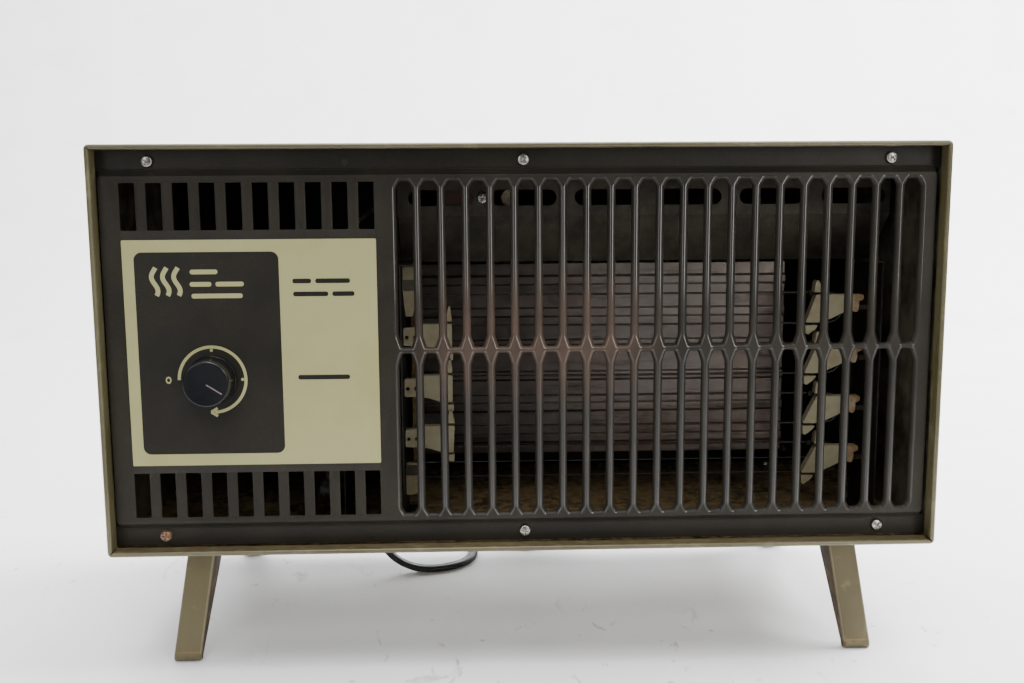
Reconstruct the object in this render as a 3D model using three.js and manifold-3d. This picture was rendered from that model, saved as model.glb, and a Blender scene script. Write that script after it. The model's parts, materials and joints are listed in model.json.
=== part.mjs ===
// Portable fan-forced space heater: ribbon element on ceramic insulators behind a slotted steel face.
// Millimetres. X runs to the right as the face is seen, Y runs from the face to the back, Z is up,
// and the floor is Z = 0. Depths d are measured back from the front lip of the case, and heights h
// are measured up from the underside of the case.
import * as THREE from 'three';
import { mergeVertices } from 'three/addons/utils/BufferGeometryUtils.js';
import Module from 'manifold-3d';

const wasm = await Module();
wasm.setup();

// ---- driving dimensions -------------------------------------------------------------------------

const caseWidth = 457.2;
const caseHeight = 222.25;
const caseDepth = 203.2;
const legHeight = 66;
const knobReach = 8.1; // how far the knob stands out in front of the lip
const gap = 0.3; // clearance between neighbouring pieces

const wall = 1.2;
const hem = 2.7;
const hemDepth = 9;
const rearHemDepth = 4;
const sheet = 1.0;

const lipY = knobReach - (caseDepth + knobReach) / 2;
const midHeight = caseHeight / 2;
const insideHalf = caseWidth / 2 - hem;

const face = { d: 7.9, half: 95.2, x0: -225.4, x1: 224 };
const strip = { d: 11.85, step: 2.6, halfWidth: caseWidth / 2 - wall - gap };
const screwRow = { x: 199.4, offset: 102.6 };

const vent = { x: -214.1, pitch: 14, width: 8.2, height: 25, count: 10, offset: 78.7 };
const grille = { x: -68.2, pitch: 13.1, slot: 8.6, count: 22, half: 91.3, band: 3.4 };
const label = { x0: -214.1, x1: -79.2, h0: 49.4, h1: 172.3, d: 7.25, thickness: 0.4 };
const dial = { x: -169, h: 96.8 };

const partitionX = -73;
const baffle = { d: 60.4, topH: 219.4, bendH: 183, footD: 91, footH: 154.6, x0: -71.4, x1: 219 };
const reflector = { x0: -66, x1: 167, d: 93, h0: 33, h1: 153 };
const bracketLeftX = -70.2;
const bracketRightX = 209;
const insulator = { pitch: 30.3, topRightH: 127.6, half: 8.2, d: 51, thickness: 6 };
const ribbon = { d: 57.4, width: 3.4, thickness: 0.9, clear: 0.5 };

const fan = { x: 50, h: 100, radius: 59, blades: 5, d: 108 };
const motor = { d: 146, stack: 22, bore: 14.4, rotor: 13.8, shaft: 2.9 };
const backPanelD = 196.2;

const leg = {
  topX: 190, footX: 199.6, width: 15.4, sheet: 1.2,
  topD: 19.5, footD: 11, topFlange: 23, footFlange: 6.5,
  rearShift: 8,
};

const cord = { width: 7.4, thickness: 4.3, exitX: -98, exitD: 152, bootLength: 22 };
const coil = { x: 10, d: 243, radius: 41, band: 16, height: 14 };
const tail = { startX: 42.8, endX: 70 };

// ---- materials ----------------------------------------------------------------------------------

const finish = (color, roughness, metalness) =>
  new THREE.MeshStandardMaterial({ color, roughness, metalness });

const olivePaint = finish(0x6b634b, 0.5, 0.1);
const brownPaint = finish(0x3a3630, 0.6, 0.1);
const creamInk = finish(0xaaaa86, 0.6, 0);
const zinc = finish(0xb4b2aa, 0.35, 0.9);
const galvanized = finish(0x9a9490, 0.45, 0.85);
const darkSteel = finish(0x45433a, 0.6, 0.6);
const ceramic = finish(0xc8c6aa, 0.6, 0);
const nichrome = finish(0x2c2a29, 0.5, 0.8);
const blackPlastic = finish(0x1c1e22, 0.2, 0);
const bakelite = finish(0x6a3f28, 0.45, 0);
const copper = finish(0xa0623a, 0.4, 0.9);
const aluminium = finish(0xb8babb, 0.4, 0.9);
const steel = finish(0x8d8c88, 0.35, 0.9);
const leadInsulation = finish(0xb8ab90, 0.7, 0);
const cordRubber = finish(0x16171a, 0.6, 0);

// ---- solids -------------------------------------------------------------------------------------

const depth = (d) => lipY + d;
const height = (h) => legHeight + h;

function toSolid(geometry) {
  const bare = new THREE.BufferGeometry();
  bare.setAttribute('position', geometry.getAttribute('position').clone());
  if (geometry.index) bare.setIndex(geometry.index.clone());
  const merged = mergeVertices(bare, 1e-4);
  return new wasm.Manifold(new wasm.Mesh({
    numProp: 3,
    vertProperties: new Float32Array(merged.getAttribute('position').array),
    triVerts: new Uint32Array(merged.index.array),
  }));
}

function toGeometry(solid) {
  const mesh = solid.getMesh();
  const geometry = new THREE.BufferGeometry();
  geometry.setAttribute('position', new THREE.BufferAttribute(new Float32Array(mesh.vertProperties), 3));
  geometry.setIndex(new THREE.BufferAttribute(new Uint32Array(mesh.triVerts), 1));
  geometry.computeVertexNormals();
  return geometry;
}

function join(geometries) {
  const [first, ...rest] = geometries.map(toSolid);
  return toGeometry(rest.reduce((sum, solid) => sum.add(solid), first));
}

function cut(geometry, cutters) {
  return toGeometry(cutters.map(toSolid).reduce((left, solid) => left.subtract(solid), toSolid(geometry)));
}

// A box from its limits, in X, depth and height.
function block(x0, x1, d0, d1, h0, h1) {
  const geometry = new THREE.BoxGeometry(x1 - x0, d1 - d0, h1 - h0);
  return geometry.translate((x0 + x1) / 2, depth((d0 + d1) / 2), height((h0 + h1) / 2));
}

function outline(points) {
  return new THREE.Shape(points.map(([a, b]) => new THREE.Vector2(a, b)));
}

// An outline in X and height, as thick as `thickness` towards the back from depth d.
function facePlate(shape, d, thickness, curveSegments = 5) {
  const geometry = new THREE.ExtrudeGeometry(shape, { depth: thickness, bevelEnabled: false, curveSegments });
  return geometry.rotateX(Math.PI / 2).translate(0, depth(d) + thickness, legHeight);
}

// An outline in depth and height, extruded from x0 to x1.
function sidePlate(shape, x0, x1) {
  const geometry = new THREE.ExtrudeGeometry(shape, { depth: x1 - x0, bevelEnabled: false });
  const turn = new THREE.Matrix4().makeBasis(
    new THREE.Vector3(0, 1, 0), new THREE.Vector3(0, 0, 1), new THREE.Vector3(1, 0, 0));
  return geometry.applyMatrix4(turn).translate(x0, lipY, legHeight);
}

// The outline of a bent sheet: the points are its front side, and it is `thick` to their left.
function bentSheet(points, thick) {
  const path = points.map(([a, b]) => new THREE.Vector2(a, b));
  const normals = path.slice(1).map((p, i) => {
    const along = p.clone().sub(path[i]).normalize();
    return new THREE.Vector2(-along.y, along.x);
  });
  const back = path.map((p, i) => {
    const before = normals[Math.max(i - 1, 0)];
    const after = normals[Math.min(i, normals.length - 1)];
    const miter = before.clone().add(after).normalize();
    return p.clone().addScaledVector(miter, thick / miter.dot(after));
  });
  return new THREE.Shape([...path, ...back.reverse()]);
}

function roundedRect(x0, x1, h0, h1, radius) {
  const shape = new THREE.Shape();
  shape.moveTo(x0 + radius, h0).lineTo(x1 - radius, h0);
  shape.absarc(x1 - radius, h0 + radius, radius, -Math.PI / 2, 0);
  shape.absarc(x1 - radius, h1 - radius, radius, 0, Math.PI / 2);
  shape.absarc(x0 + radius, h1 - radius, radius, Math.PI / 2, Math.PI);
  shape.absarc(x0 + radius, h0 + radius, radius, Math.PI, Math.PI * 1.5);
  return shape;
}

// A turned solid about an axis through (x, h) that runs to the back: profile pairs are radius, depth.
function turnedAlongY(profile, x, h, segments = 20) {
  const points = profile.map(([r, d]) => new THREE.Vector2(r, d));
  return new THREE.LatheGeometry(points, segments).translate(x, lipY, height(h));
}

// A turned solid about an upright axis through (x, d): profile pairs are radius, height.
function turnedAlongZ(profile, x, d, segments = 20) {
  const points = profile.map(([r, h]) => new THREE.Vector2(r, h));
  return new THREE.LatheGeometry(points, segments).rotateX(Math.PI / 2).translate(x, depth(d), legHeight);
}

function rod(radius, d0, d1, x, h, segments = 20) {
  return turnedAlongY([[0, d0], [radius, d0], [radius, d1], [0, d1]], x, h, segments);
}

function postUp(radius, h0, h1, x, d, segments = 16) {
  return turnedAlongZ([[0, h0], [radius, h0], [radius, h1], [0, h1]], x, d, segments);
}

const heater = new THREE.Group();

function piece(name, geometry, material, parent = heater) {
  const mesh = new THREE.Mesh(geometry, material);
  mesh.name = name;
  parent.add(mesh);
}

// ---- case, panels and label ---------------------------------------------------------------------

const cornerScrews = [-1, 0, 1].flatMap((side) => [1, -1].map((up) => ({
  x: side * screwRow.x, h: midHeight + up * screwRow.offset, up,
})));
const backScrews = cornerScrews.filter((screw) => screw.x !== 0);
const legSpots = [
  { name: 'front_left', side: -1, rear: false }, { name: 'front_right', side: 1, rear: false },
  { name: 'rear_left', side: -1, rear: true }, { name: 'rear_right', side: 1, rear: true },
].map((spot) => {
  const front = leg.topD + 13;
  const rear = caseDepth - front + leg.rearShift;
  return { ...spot, x: spot.side * (leg.topX - leg.width / 2), d: spot.rear ? rear : front };
});

// A tab spot-welded inside the case, which a panel screw goes into.
function screwTab({ x, h, up }, d) {
  const edge = up > 0 ? caseHeight - wall / 2 : wall / 2;
  const inner = h - up * 6;
  return cut(
    block(x - 8, x + 8, d, d + 1, Math.min(edge, inner), Math.max(edge, inner)),
    [rod(2.1, d - 1, d + 2, x, h, 12)],
  );
}

function caseWrapper() {
  const half = caseWidth / 2;
  const sleeve = facePlate(roundedRect(-half, half, 0, caseHeight, 2.6), 0, caseDepth);
  const hollow = (inset, d0, d1) => facePlate(
    roundedRect(-half + inset, half - inset, inset, caseHeight - inset, 1.2), d0, d1 - d0);
  const shell = cut(sleeve, [
    hollow(hem, -1, hemDepth + 0.5),
    hollow(wall, hemDepth, caseDepth - rearHemDepth),
    hollow(hem, caseDepth - rearHemDepth - 0.5, caseDepth + 1),
  ]);
  const tabs = [
    ...cornerScrews.map((screw) => screwTab(screw, strip.d + sheet + gap)),
    ...backScrews.map((screw) => screwTab(screw, backPanelD - gap - 1)),
  ];
  return cut(join([shell, ...tabs]), [
    postUp(5.6, -1, 3, cord.exitX, cord.exitD),
    ...legSpots.map((spot) => postUp(2.1, -1, 3, spot.x, spot.d, 12)),
  ]);
}

function ventRow(centreH) {
  return Array.from({ length: vent.count }, (_, i) => {
    const x = vent.x + i * vent.pitch;
    const half = vent.height / 2;
    return block(x, x + vent.width, face.d - 2, face.d + 4, centreH - half, centreH + half);
  });
}

// One grille slot: its ends narrow where the bars flare into the face.
function grilleSlot(x, h0, h1) {
  const [flare, rise] = [2.1, 5.5];
  const shape = outline([
    [x, h0 + rise], [x + flare, h0], [x + grille.slot - flare, h0], [x + grille.slot, h0 + rise],
    [x + grille.slot, h1 - rise], [x + grille.slot - flare, h1], [x + flare, h1], [x, h1 - rise],
  ]);
  return facePlate(shape, face.d - 2, 6);
}

function grilleSlots() {
  return Array.from({ length: grille.count }, (_, i) => grille.x + i * grille.pitch).flatMap((x) => [
    grilleSlot(x, midHeight + grille.band / 2, midHeight + grille.half),
    grilleSlot(x, midHeight - grille.half, midHeight - grille.band / 2),
  ]);
}

function frontPanel() {
  const [low, high] = [midHeight - face.half, midHeight + face.half];
  const wide = strip.halfWidth;
  const profile = bentSheet([
    [strip.d, high + 13.2], [strip.d, high + strip.step], [face.d, high],
    [face.d, low], [strip.d, low - strip.step], [strip.d, low - 13],
  ], sheet);
  const flange = (x) => block(x, x + sheet, face.d + 0.5, 20, low + 2, high - 2);
  const beside = (x0, x1) => block(x0, x1, face.d - 1, strip.d, low - 5, high + 5);
  const stamping = cut(
    sidePlate(profile, -wide, wide), [beside(-wide - 1, face.x0), beside(face.x1, wide + 1)],
  );
  const panel = join([stamping, flange(face.x0), flange(face.x1 - sheet)]);
  return cut(panel, [
    ...ventRow(midHeight + vent.offset), ...ventRow(midHeight - vent.offset), ...grilleSlots(),
    ...cornerScrews.map(({ x, h }) => rod(2.2, strip.d - 1, strip.d + 3, x, h, 12)),
    rod(5.2, face.d - 2, face.d + 3, dial.x, dial.h),
  ]);
}

function controlLabel() {
  const shape = roundedRect(label.x0, label.x1, label.h0, label.h1, 1);
  return cut(facePlate(shape, label.d, label.thickness), [rod(6, label.d - 1, label.d + 2, dial.x, dial.h)]);
}

// A louvre: a slot in the back panel under a sloping hood.
const louvre = { height: 6, rise: 3.6 };

function backPanel() {
  const half = insideHalf - 0.6;
  const rows = Array.from({ length: 8 }, (_, i) => fan.h - 52 + i * 14);
  const columns = [[fan.x - 62, fan.x - 3], [fan.x + 3, fan.x + 62], [-196, -142]];
  const spots = rows.flatMap((h) => columns.map(([x0, x1]) => ({ h, x0, x1 })));
  const slots = spots.map(({ h, x0, x1 }) =>
    block(x0, x1, backPanelD - 1, backPanelD + 3, h, h + louvre.height));
  const hood = bentSheet([
    [backPanelD + louvre.rise, -0.6], [backPanelD + 0.4, louvre.height + 1.2],
  ], 0.8);
  const hoods = spots.map(({ h, x0, x1 }) => sidePlate(hood, x0 - 0.5, x1 + 0.5).translate(0, 0, h));
  const plate = block(-half, half, backPanelD, backPanelD + sheet, 3.2, caseHeight - 3.2);
  const holes = backScrews.map(({ x, h }) => rod(2.2, backPanelD - 1, backPanelD + 2, x, h, 12));
  return join([cut(plate, [...slots, ...holes]), ...hoods]);
}

piece('case_wrapper', caseWrapper(), olivePaint);
piece('front_panel', frontPanel(), brownPaint);
piece('back_panel', backPanel(), brownPaint);
piece('control_label', controlLabel(), creamInk);

// ---- screws -------------------------------------------------------------------------------------

// Pan head screw along Y. `out` is -1 where the head faces the front and 1 where it faces the back.
function panScrew(x, h, d, out, length, headRadius = 3.4) {
  const profile = [
    [0, -length], [1.7, -length], [1.7, 0], [headRadius, 0], [headRadius, 1], [2.6, 2], [1.2, 2.3], [0, 2.3],
  ].map(([r, along]) => [r, d + out * along]);
  return turnedAlongY(out > 0 ? profile : profile.reverse(), x, h, 12);
}

cornerScrews.forEach(({ x, h }, i) => {
  piece(`front_screw_${i + 1}`, panScrew(x, h, strip.d - 0.1, -1, 7), zinc);
});
backScrews.forEach(({ x, h }, i) => {
  piece(`back_screw_${i + 1}`, panScrew(x, h, backPanelD + sheet + 0.1, 1, 6), zinc);
});

// ---- legs ---------------------------------------------------------------------------------------

// One stamped channel leg. It is built upright with its web at the front, then sheared so that it
// splays outwards and rakes forwards. A rear leg is the same piece turned to face the back, and it
// stands rearShift further back than a mirrored one would.
function channelLeg() {
  const [w, t] = [leg.width, leg.sheet];
  const top = legHeight - gap;
  const flangeShape = new THREE.Shape([
    new THREE.Vector2(0, 0), new THREE.Vector2(leg.footFlange, 0), new THREE.Vector2(leg.footFlange, 3),
    new THREE.Vector2(leg.topFlange, top - 6), new THREE.Vector2(leg.topFlange, top),
    new THREE.Vector2(0, top),
  ]);
  const flange = (x) => {
    const plate = new THREE.ExtrudeGeometry(flangeShape, { depth: t, bevelEnabled: false });
    const turn = new THREE.Matrix4().makeBasis(
      new THREE.Vector3(0, 1, 0), new THREE.Vector3(0, 0, 1), new THREE.Vector3(1, 0, 0));
    return plate.applyMatrix4(turn).translate(x, 0, 0);
  };
  const web = new THREE.BoxGeometry(w, t, top).translate(0, t / 2, top / 2);
  const tab = new THREE.BoxGeometry(w, leg.topFlange, t).translate(0, leg.topFlange / 2, top - t / 2);
  const pad = new THREE.BoxGeometry(w, leg.footFlange, t).translate(0, leg.footFlange / 2, t / 2);
  const hole = new THREE.CylinderGeometry(2.1, 2.1, 4, 12).rotateX(Math.PI / 2).translate(0, 13, top - t / 2);
  return cut(join([web, tab, pad, flange(-w / 2), flange(w / 2 - t)]), [hole]);
}

function placedLeg({ side, rear }) {
  const splay = side * (leg.footX - leg.topX) / legHeight;
  const rake = (leg.topD - leg.footD) / legHeight;
  const shear = new THREE.Matrix4().set(
    1, 0, -splay, side * (leg.footX - leg.width / 2),
    0, 1, rake, depth(leg.footD),
    0, 0, 1, 0,
    0, 0, 0, 1,
  );
  const geometry = channelLeg().applyMatrix4(shear);
  if (!rear) return geometry;
  return geometry.rotateZ(Math.PI).translate(0, 2 * depth(caseDepth / 2) + leg.rearShift, 0);
}

// A rear leg turned half a turn about the case's middle stands on the other side, so it starts there.
legSpots.forEach((spot) => {
  const start = spot.rear ? { ...spot, side: -spot.side } : spot;
  piece(`leg_${spot.name}`, placedLeg(start), olivePaint);
});

function legScrew({ x, d }) {
  const head = wall + 0.15;
  return turnedAlongZ([
    [0, -7], [1.7, -7], [1.7, head], [3.6, head], [3.6, head + 1], [2.6, head + 2], [0, head + 2.3],
  ], x, d, 16);
}

legSpots.forEach((spot) => piece(`leg_screw_${spot.name}`, legScrew(spot), zinc));

// ---- air path: partition, upper baffle and reflector --------------------------------------------

function partition() {
  const plate = block(partitionX, partitionX + 0.9, 21, 194, 2, caseHeight - 2);
  const hole = new THREE.CylinderGeometry(8, 8, 6, 20).rotateZ(Math.PI / 2);
  return cut(plate, [hole.translate(partitionX, depth(120), height(196))]);
}

function upperBaffle() {
  const { d, topH, bendH, footD, footH, x0, x1 } = baffle;
  const profile = bentSheet([[d - 12, topH], [d, topH], [d, bendH], [footD, footH]], 0.8);
  const holes = Array.from({ length: 6 }, (_, i) => {
    const x = -65 + i * 48.6;
    return facePlate(roundedRect(x, x + 38, 188.9, 198.1, 4.59), d - 4, 10, 4);
  });
  const screwHole = rod(1.9, d - 3, d + 3, -21.8, 193.5, 12);
  return cut(sidePlate(profile, x0, x1), [...holes, screwHole]);
}

// The reflector has pressed ribs across it and a flange at the top and the bottom.
function reflectorSheet() {
  const { d, h0, h1, x0, x1 } = reflector;
  const ribs = 6;
  const step = (h1 - h0) / ribs;
  const front = [[d + 8, h1], [d, h1]];
  for (let i = 0; i < ribs; i += 1) {
    const high = h1 - i * step;
    front.push([d, high - step * 0.35], [d - 1.6, high - step * 0.42]);
    front.push([d - 1.6, high - step * 0.62], [d, high - step * 0.69]);
  }
  front.push([d, h0], [d + 8, h0]);
  return sidePlate(bentSheet(front, 0.7), x0, x1);
}

piece('chamber_partition', partition(), darkSteel);
piece('upper_baffle', upperBaffle(), darkSteel);
piece('reflector', reflectorSheet(), galvanized);

// ---- heating element ----------------------------------------------------------------------------

// An upright end bracket whose foot and head turn in over the elements. The insulators clip onto it.
function endBracket(x, inward) {
  const turnIn = (h) => (inward > 0
    ? block(x, x + 9, 42, 84, h, h + sheet)
    : block(x - 8, x + sheet, 42, 84, h, h + sheet));
  return join([block(x, x + sheet, 42, 84, 2, 156), turnIn(2), turnIn(155)]);
}

piece('element_bracket_left', endBracket(bracketLeftX, 1), darkSteel);
piece('element_bracket_right', endBracket(bracketRightX, -1), darkSteel);

const rightInsulators = [0, 1, 2, 3].map((i) => insulator.topRightH - i * insulator.pitch);
const leftInsulators = [0, 1, 2, 3, 4].map((i) => insulator.topRightH + (0.5 - i) * insulator.pitch);

// A fired clay wedge. It is tallest at its inner end, which holds the ribbon's bend.
function wedge(innerX, towards, length, h) {
  const r = insulator.half;
  const shape = outline([
    [0, -r + 1], [5, r], [length - 1.5, r], [length, r - 2], [length, r - 5], [length - 7, r - 9.5],
    [length * 0.62, r - 10.5], [length * 0.42, -r],  [1, -r],
  ].map(([a, b]) => [innerX + towards * a, h + b]));
  return facePlate(shape, insulator.d, insulator.thickness);
}

// The first and the last holder on the left are short. They hold the ribbon's two ends.
function endHolder(h, last) {
  const sides = last
    ? [[-68.7, -3], [-64, -3], [-60, -1], [-60, 6], [-61.5, 15.5], [-68.7, 15.5]]
    : [[-68.7, -2.4], [-67.5, -17.5], [-63, -17.5], [-60, -2.4], [-60, 3.9], [-61, 11.6], [-68.7, 11.6]];
  return facePlate(outline(sides.map(([x, up]) => [x, h + up])), insulator.d, insulator.thickness);
}

rightInsulators.forEach((h, i) => {
  piece(`insulator_right_${i + 1}`, wedge(168, 1, 40.6, h), ceramic);
});
leftInsulators.forEach((h, i) => {
  const short = i === 0 || i === leftInsulators.length - 1;
  const shape = short ? endHolder(h, i > 0) : wedge(-38.5, -1, 30.2, h);
  piece(`insulator_left_${i + 1}`, shape, ceramic);
});

// The ribbon runs to and fro behind the insulators, and its bends lie behind their inner ends.
function heatingRibbon() {
  const reach = insulator.half + ribbon.clear;
  const rows = rightInsulators.flatMap((h) => [h + reach, h - reach]);
  const [leftX, rightX] = [-49, 183];
  const points = [new THREE.Vector2(leftX - 15, rows[0])];
  rows.forEach((h, i) => {
    const last = i === rows.length - 1;
    const atRight = i % 2 === 0;
    if (last) {
      points.push(new THREE.Vector2(leftX - 15, h));
      return;
    }
    const radius = (h - rows[i + 1]) / 2;
    const x = atRight ? rightX : leftX;
    for (let k = 0; k <= 6; k += 1) {
      const turn = Math.PI / 2 - (Math.PI * k) / 6;
      const out = radius * Math.cos(turn) * (atRight ? 1 : -1);
      points.push(new THREE.Vector2(x + out, h - radius + radius * Math.sin(turn)));
    }
  });
  const path = points.map((p) => [p.x, p.y]);
  return facePlate(bentSheet(path, ribbon.thickness), ribbon.d, ribbon.width);
}

piece('heating_ribbon', heatingRibbon(), nichrome);

// ---- thermostat ---------------------------------------------------------------------------------

function thermostatBody() {
  const body = block(dial.x - 19, dial.x + 19, 13, 40, dial.h - 15, dial.h + 15);
  const bushing = rod(4.6, 3.6, 14, dial.x, dial.h);
  const terminals = [-1, 1].map((s) => {
    const x = dial.x + s * 12;
    return block(x - 3, x + 3, 39, 48, dial.h - 0.5, dial.h + 0.5);
  });
  return cut(join([body, bushing, ...terminals]), [rod(3.3, 2, 27, dial.x, dial.h)]);
}

function hexNut() {
  const shape = outline(Array.from({ length: 6 }, (_, i) => {
    const turn = (Math.PI / 3) * i;
    return [dial.x + 7.4 * Math.cos(turn), dial.h + 7.4 * Math.sin(turn)];
  }));
  return cut(facePlate(shape, 4.5, 2.5), [rod(4.9, 3, 9, dial.x, dial.h)]);
}

// The knob is hollow under its rim, where it covers the nut, and bored for the shaft.
function knob() {
  return turnedAlongY([
    [0, -8.1], [10.9, -8.1], [12.2, -7], [12.6, 0], [12.6, 4.6], [13.4, 6.2], [13.4, 6.7],
    [9.6, 6.7], [9.6, 3.2], [3.3, 3.2], [3.3, -5], [0, -5],
  ], dial.x, dial.h, 24);
}

piece('thermostat_body', thermostatBody(), bakelite);
piece('thermostat_nut', hexNut(), zinc);
piece('thermostat_shaft', rod(3, -4.7, 26.5, dial.x, dial.h), steel);
piece('thermostat_knob', knob(), blackPlastic);

// ---- limit switch and wire joint behind the upper baffle ------------------------------------------

function limitSwitch() {
  const body = block(-47, -30, 64, 78, 181, 201);
  const ear = block(-47, -17, 62, 64.2, 187, 200);
  const terminal = block(-40, -37, 77, 85, 190, 191);
  return cut(join([body, ear, terminal]), [rod(1.9, 61, 66, -21.8, 193.5, 12)]);
}

piece('limit_switch', limitSwitch(), bakelite);
piece('limit_switch_screw', panScrew(-21.8, 193.5, baffle.d - 0.1, -1, 6, 3.2), zinc);
piece('wire_joint', rod(5, 66, 84, -6, 193.5, 14), leadInsulation);

// ---- tip-over switch ----------------------------------------------------------------------------

const tip = { x: -116, d: 66, pivotH: 46, half: 10 };

// A bracket of two cheeks with feet, joined at the back above the bob. It holds the switch block
// on its back and the pivot pin between its cheeks.
function tipSwitchFrame() {
  const { x, d, pivotH, half } = tip;
  const cheek = (x0) => block(x0, x0 + sheet, d - 12, d + 13, 1.6, pivotH + 8);
  const foot = (x0) => block(x0, x0 + 9, d - 12, d + 13, 1.6, 2.6);
  const back = block(x - half - 1, x + half + 1, d + 12, d + 13, pivotH - 8, pivotH + 8);
  const switchBlock = block(x - 8, x + 8, d + 12.5, d + 24, pivotH - 6, pivotH + 8);
  const pin = new THREE.CylinderGeometry(1.3, 1.3, 2 * half + 1, 12).rotateZ(Math.PI / 2);
  return join([
    cheek(x - half - 1), cheek(x + half), foot(x - half - 9), foot(x + half), back, switchBlock,
    pin.translate(x, depth(d), height(pivotH)),
  ]);
}

function tipPendulum() {
  const { x, d, pivotH } = tip;
  const arm = block(x - 2, x + 2, d - 3, d + 3, pivotH - 26, pivotH + 3.6);
  const bob = new THREE.CylinderGeometry(8.5, 8.5, 10, 20).rotateZ(Math.PI / 2);
  const body = join([arm, bob.translate(x, depth(d), height(pivotH - 28))]);
  const bore = new THREE.CylinderGeometry(1.55, 1.55, 20, 12).rotateZ(Math.PI / 2);
  return cut(body, [bore.translate(x, depth(d), height(pivotH))]);
}

piece('tip_switch_frame', tipSwitchFrame(), darkSteel);
piece('tip_pendulum', tipPendulum(), zinc);

// ---- motor and fan ------------------------------------------------------------------------------

function motorStator() {
  const { x, h } = fan;
  const shape = roundedRect(x - 31, x + 31, h - 46, h + 26, 4);
  const window = block(x - 17, x + 17, motor.d - 1, motor.d + motor.stack + 1, h - 34, h - 19);
  const bore = rod(motor.bore, motor.d - 1, motor.d + motor.stack + 1, x, h, 24);
  return cut(facePlate(shape, motor.d, motor.stack), [window, bore]);
}

// The winding goes round the stator's lower bar and through its window.
function motorCoil() {
  const { x, h } = fan;
  const outer = block(x - 15.5, x + 15.5, motor.d - 6.5, motor.d + motor.stack + 6.5, h - 52.5, h - 27);
  const bar = block(x - 20, x + 20, motor.d - gap, motor.d + motor.stack + gap, h - 46 - gap, h - 34 + gap);
  return cut(outer, [bar]);
}

// A bridge over one end of the stator, with the bearing boss in its middle.
function bearingBridge(d0, d1) {
  const { x, h } = fan;
  const outerFace = d0 < motor.d;
  const plateD = outerFace ? d0 : d1 - 1.6;
  const plate = block(x - 29, x + 29, plateD, plateD + 1.6, h - 7, h + 7);
  const leg1 = block(x - 29, x - 25, d0, d1, h - 7, h + 7);
  const leg2 = block(x + 25, x + 29, d0, d1, h - 7, h + 7);
  const boss = rod(6.5, d0, d1, x, h, 20);
  return cut(join([plate, leg1, leg2, boss]), [rod(motor.shaft + 0.08, d0 - 1, d1 + 1, x, h)]);
}

// The strap that carries the motor from the back panel: one bent strip, seen from above.
function motorStrap(d) {
  const { x, h } = fan;
  const back = backPanelD - gap;
  const profile = bentSheet([
    [x - 93, back - 1.6], [x - 84, back - 1.6], [x - 84, d],
    [x + 84, d], [x + 84, back - 1.6], [x + 93, back - 1.6],
  ], 1.6);
  const strap = new THREE.ExtrudeGeometry(profile, { depth: 16, bevelEnabled: false });
  return strap.translate(0, lipY, height(h - 8));
}

function rotor() {
  const { x, h } = fan;
  const [r, s] = [motor.rotor, motor.shaft];
  const [d0, d1] = [motor.d + 0.5, motor.d + motor.stack - 0.5];
  return turnedAlongY([[0, 104], [s, 104], [s, d0], [r, d0], [r, d1], [s, d1], [s, 175], [0, 175]], x, h, 24);
}

function fanBlade() {
  const { x, h, radius, blades, d } = fan;
  const hub = rod(13, d, d + 15, 0, 0, 24);
  const paddle = () => new THREE.BoxGeometry(34, 1.1, radius - 10).rotateZ(0.5)
    .translate(0, depth(d + 7.5), height(0) + 10 + (radius - 10) / 2);
  const arms = Array.from({ length: blades }, (_, i) => {
    const turn = (2 * Math.PI * i) / blades;
    return paddle().translate(0, 0, -legHeight).rotateY(turn).translate(0, 0, legHeight);
  });
  return cut(join([hub, ...arms]), [rod(motor.shaft + 0.2, d - 10, d + 30, 0, 0, 24)]).translate(x, 0, h);
}

piece('motor_stator', motorStator(), darkSteel);
piece('motor_coil', motorCoil(), copper);
piece('motor_front_bridge', bearingBridge(132, motor.d - gap), aluminium);
piece('motor_rear_bridge', bearingBridge(motor.d + motor.stack + gap, 182), aluminium);
piece('motor_strap', motorStrap(182 + gap), darkSteel);
piece('motor_rotor', rotor(), steel);
piece('fan_blade', fanBlade(), aluminium);

// ---- internal leads -----------------------------------------------------------------------------

// A sleeved lead through hand-placed points given as X, depth, height.
function lead(points) {
  const path = new THREE.CatmullRomCurve3(
    points.map(([x, d, h]) => new THREE.Vector3(x, depth(d), height(h))));
  const section = new THREE.Shape(Array.from({ length: 6 }, (_, i) => {
    const turn = (Math.PI / 3) * i;
    return new THREE.Vector2(1.5 * Math.cos(turn), 1.5 * Math.sin(turn));
  }));
  return new THREE.ExtrudeGeometry(section, { steps: 26, bevelEnabled: false, extrudePath: path });
}

piece('lead_thermostat', lead([
  [-157, 49, 96.8], [-155, 58, 92], [-146, 70, 74], [-132, 84, 60], [-122, 94, 52], [-118, 93, 48],
]), leadInsulation);
piece('lead_limit', lead([
  [-38.5, 86, 190.5], [-42, 98, 193], [-56, 112, 197], [-72.5, 120, 196], [-92, 118, 186],
  [-128, 90, 150], [-160, 66, 118], [-178, 54, 102], [-181, 49, 97],
]), leadInsulation);

// ---- power cord, coil, plug ---------------------------------------------------------------------

// A bushing that grips the cord in the case floor, with a tapered boot. The cord starts just under it.
function strainRelief() {
  const { exitX, exitD, bootLength } = cord;
  return turnedAlongZ([
    [0, -bootLength], [4.6, -bootLength], [5.0, -bootLength + 6], [5.6, -9], [7.4, -3.2], [7.6, -gap],
    [5.2, -gap], [5.2, wall + gap], [7.4, wall + gap], [7.4, wall + 2.2], [0, wall + 2.2],
  ], exitX, exitD, 20);
}

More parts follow.
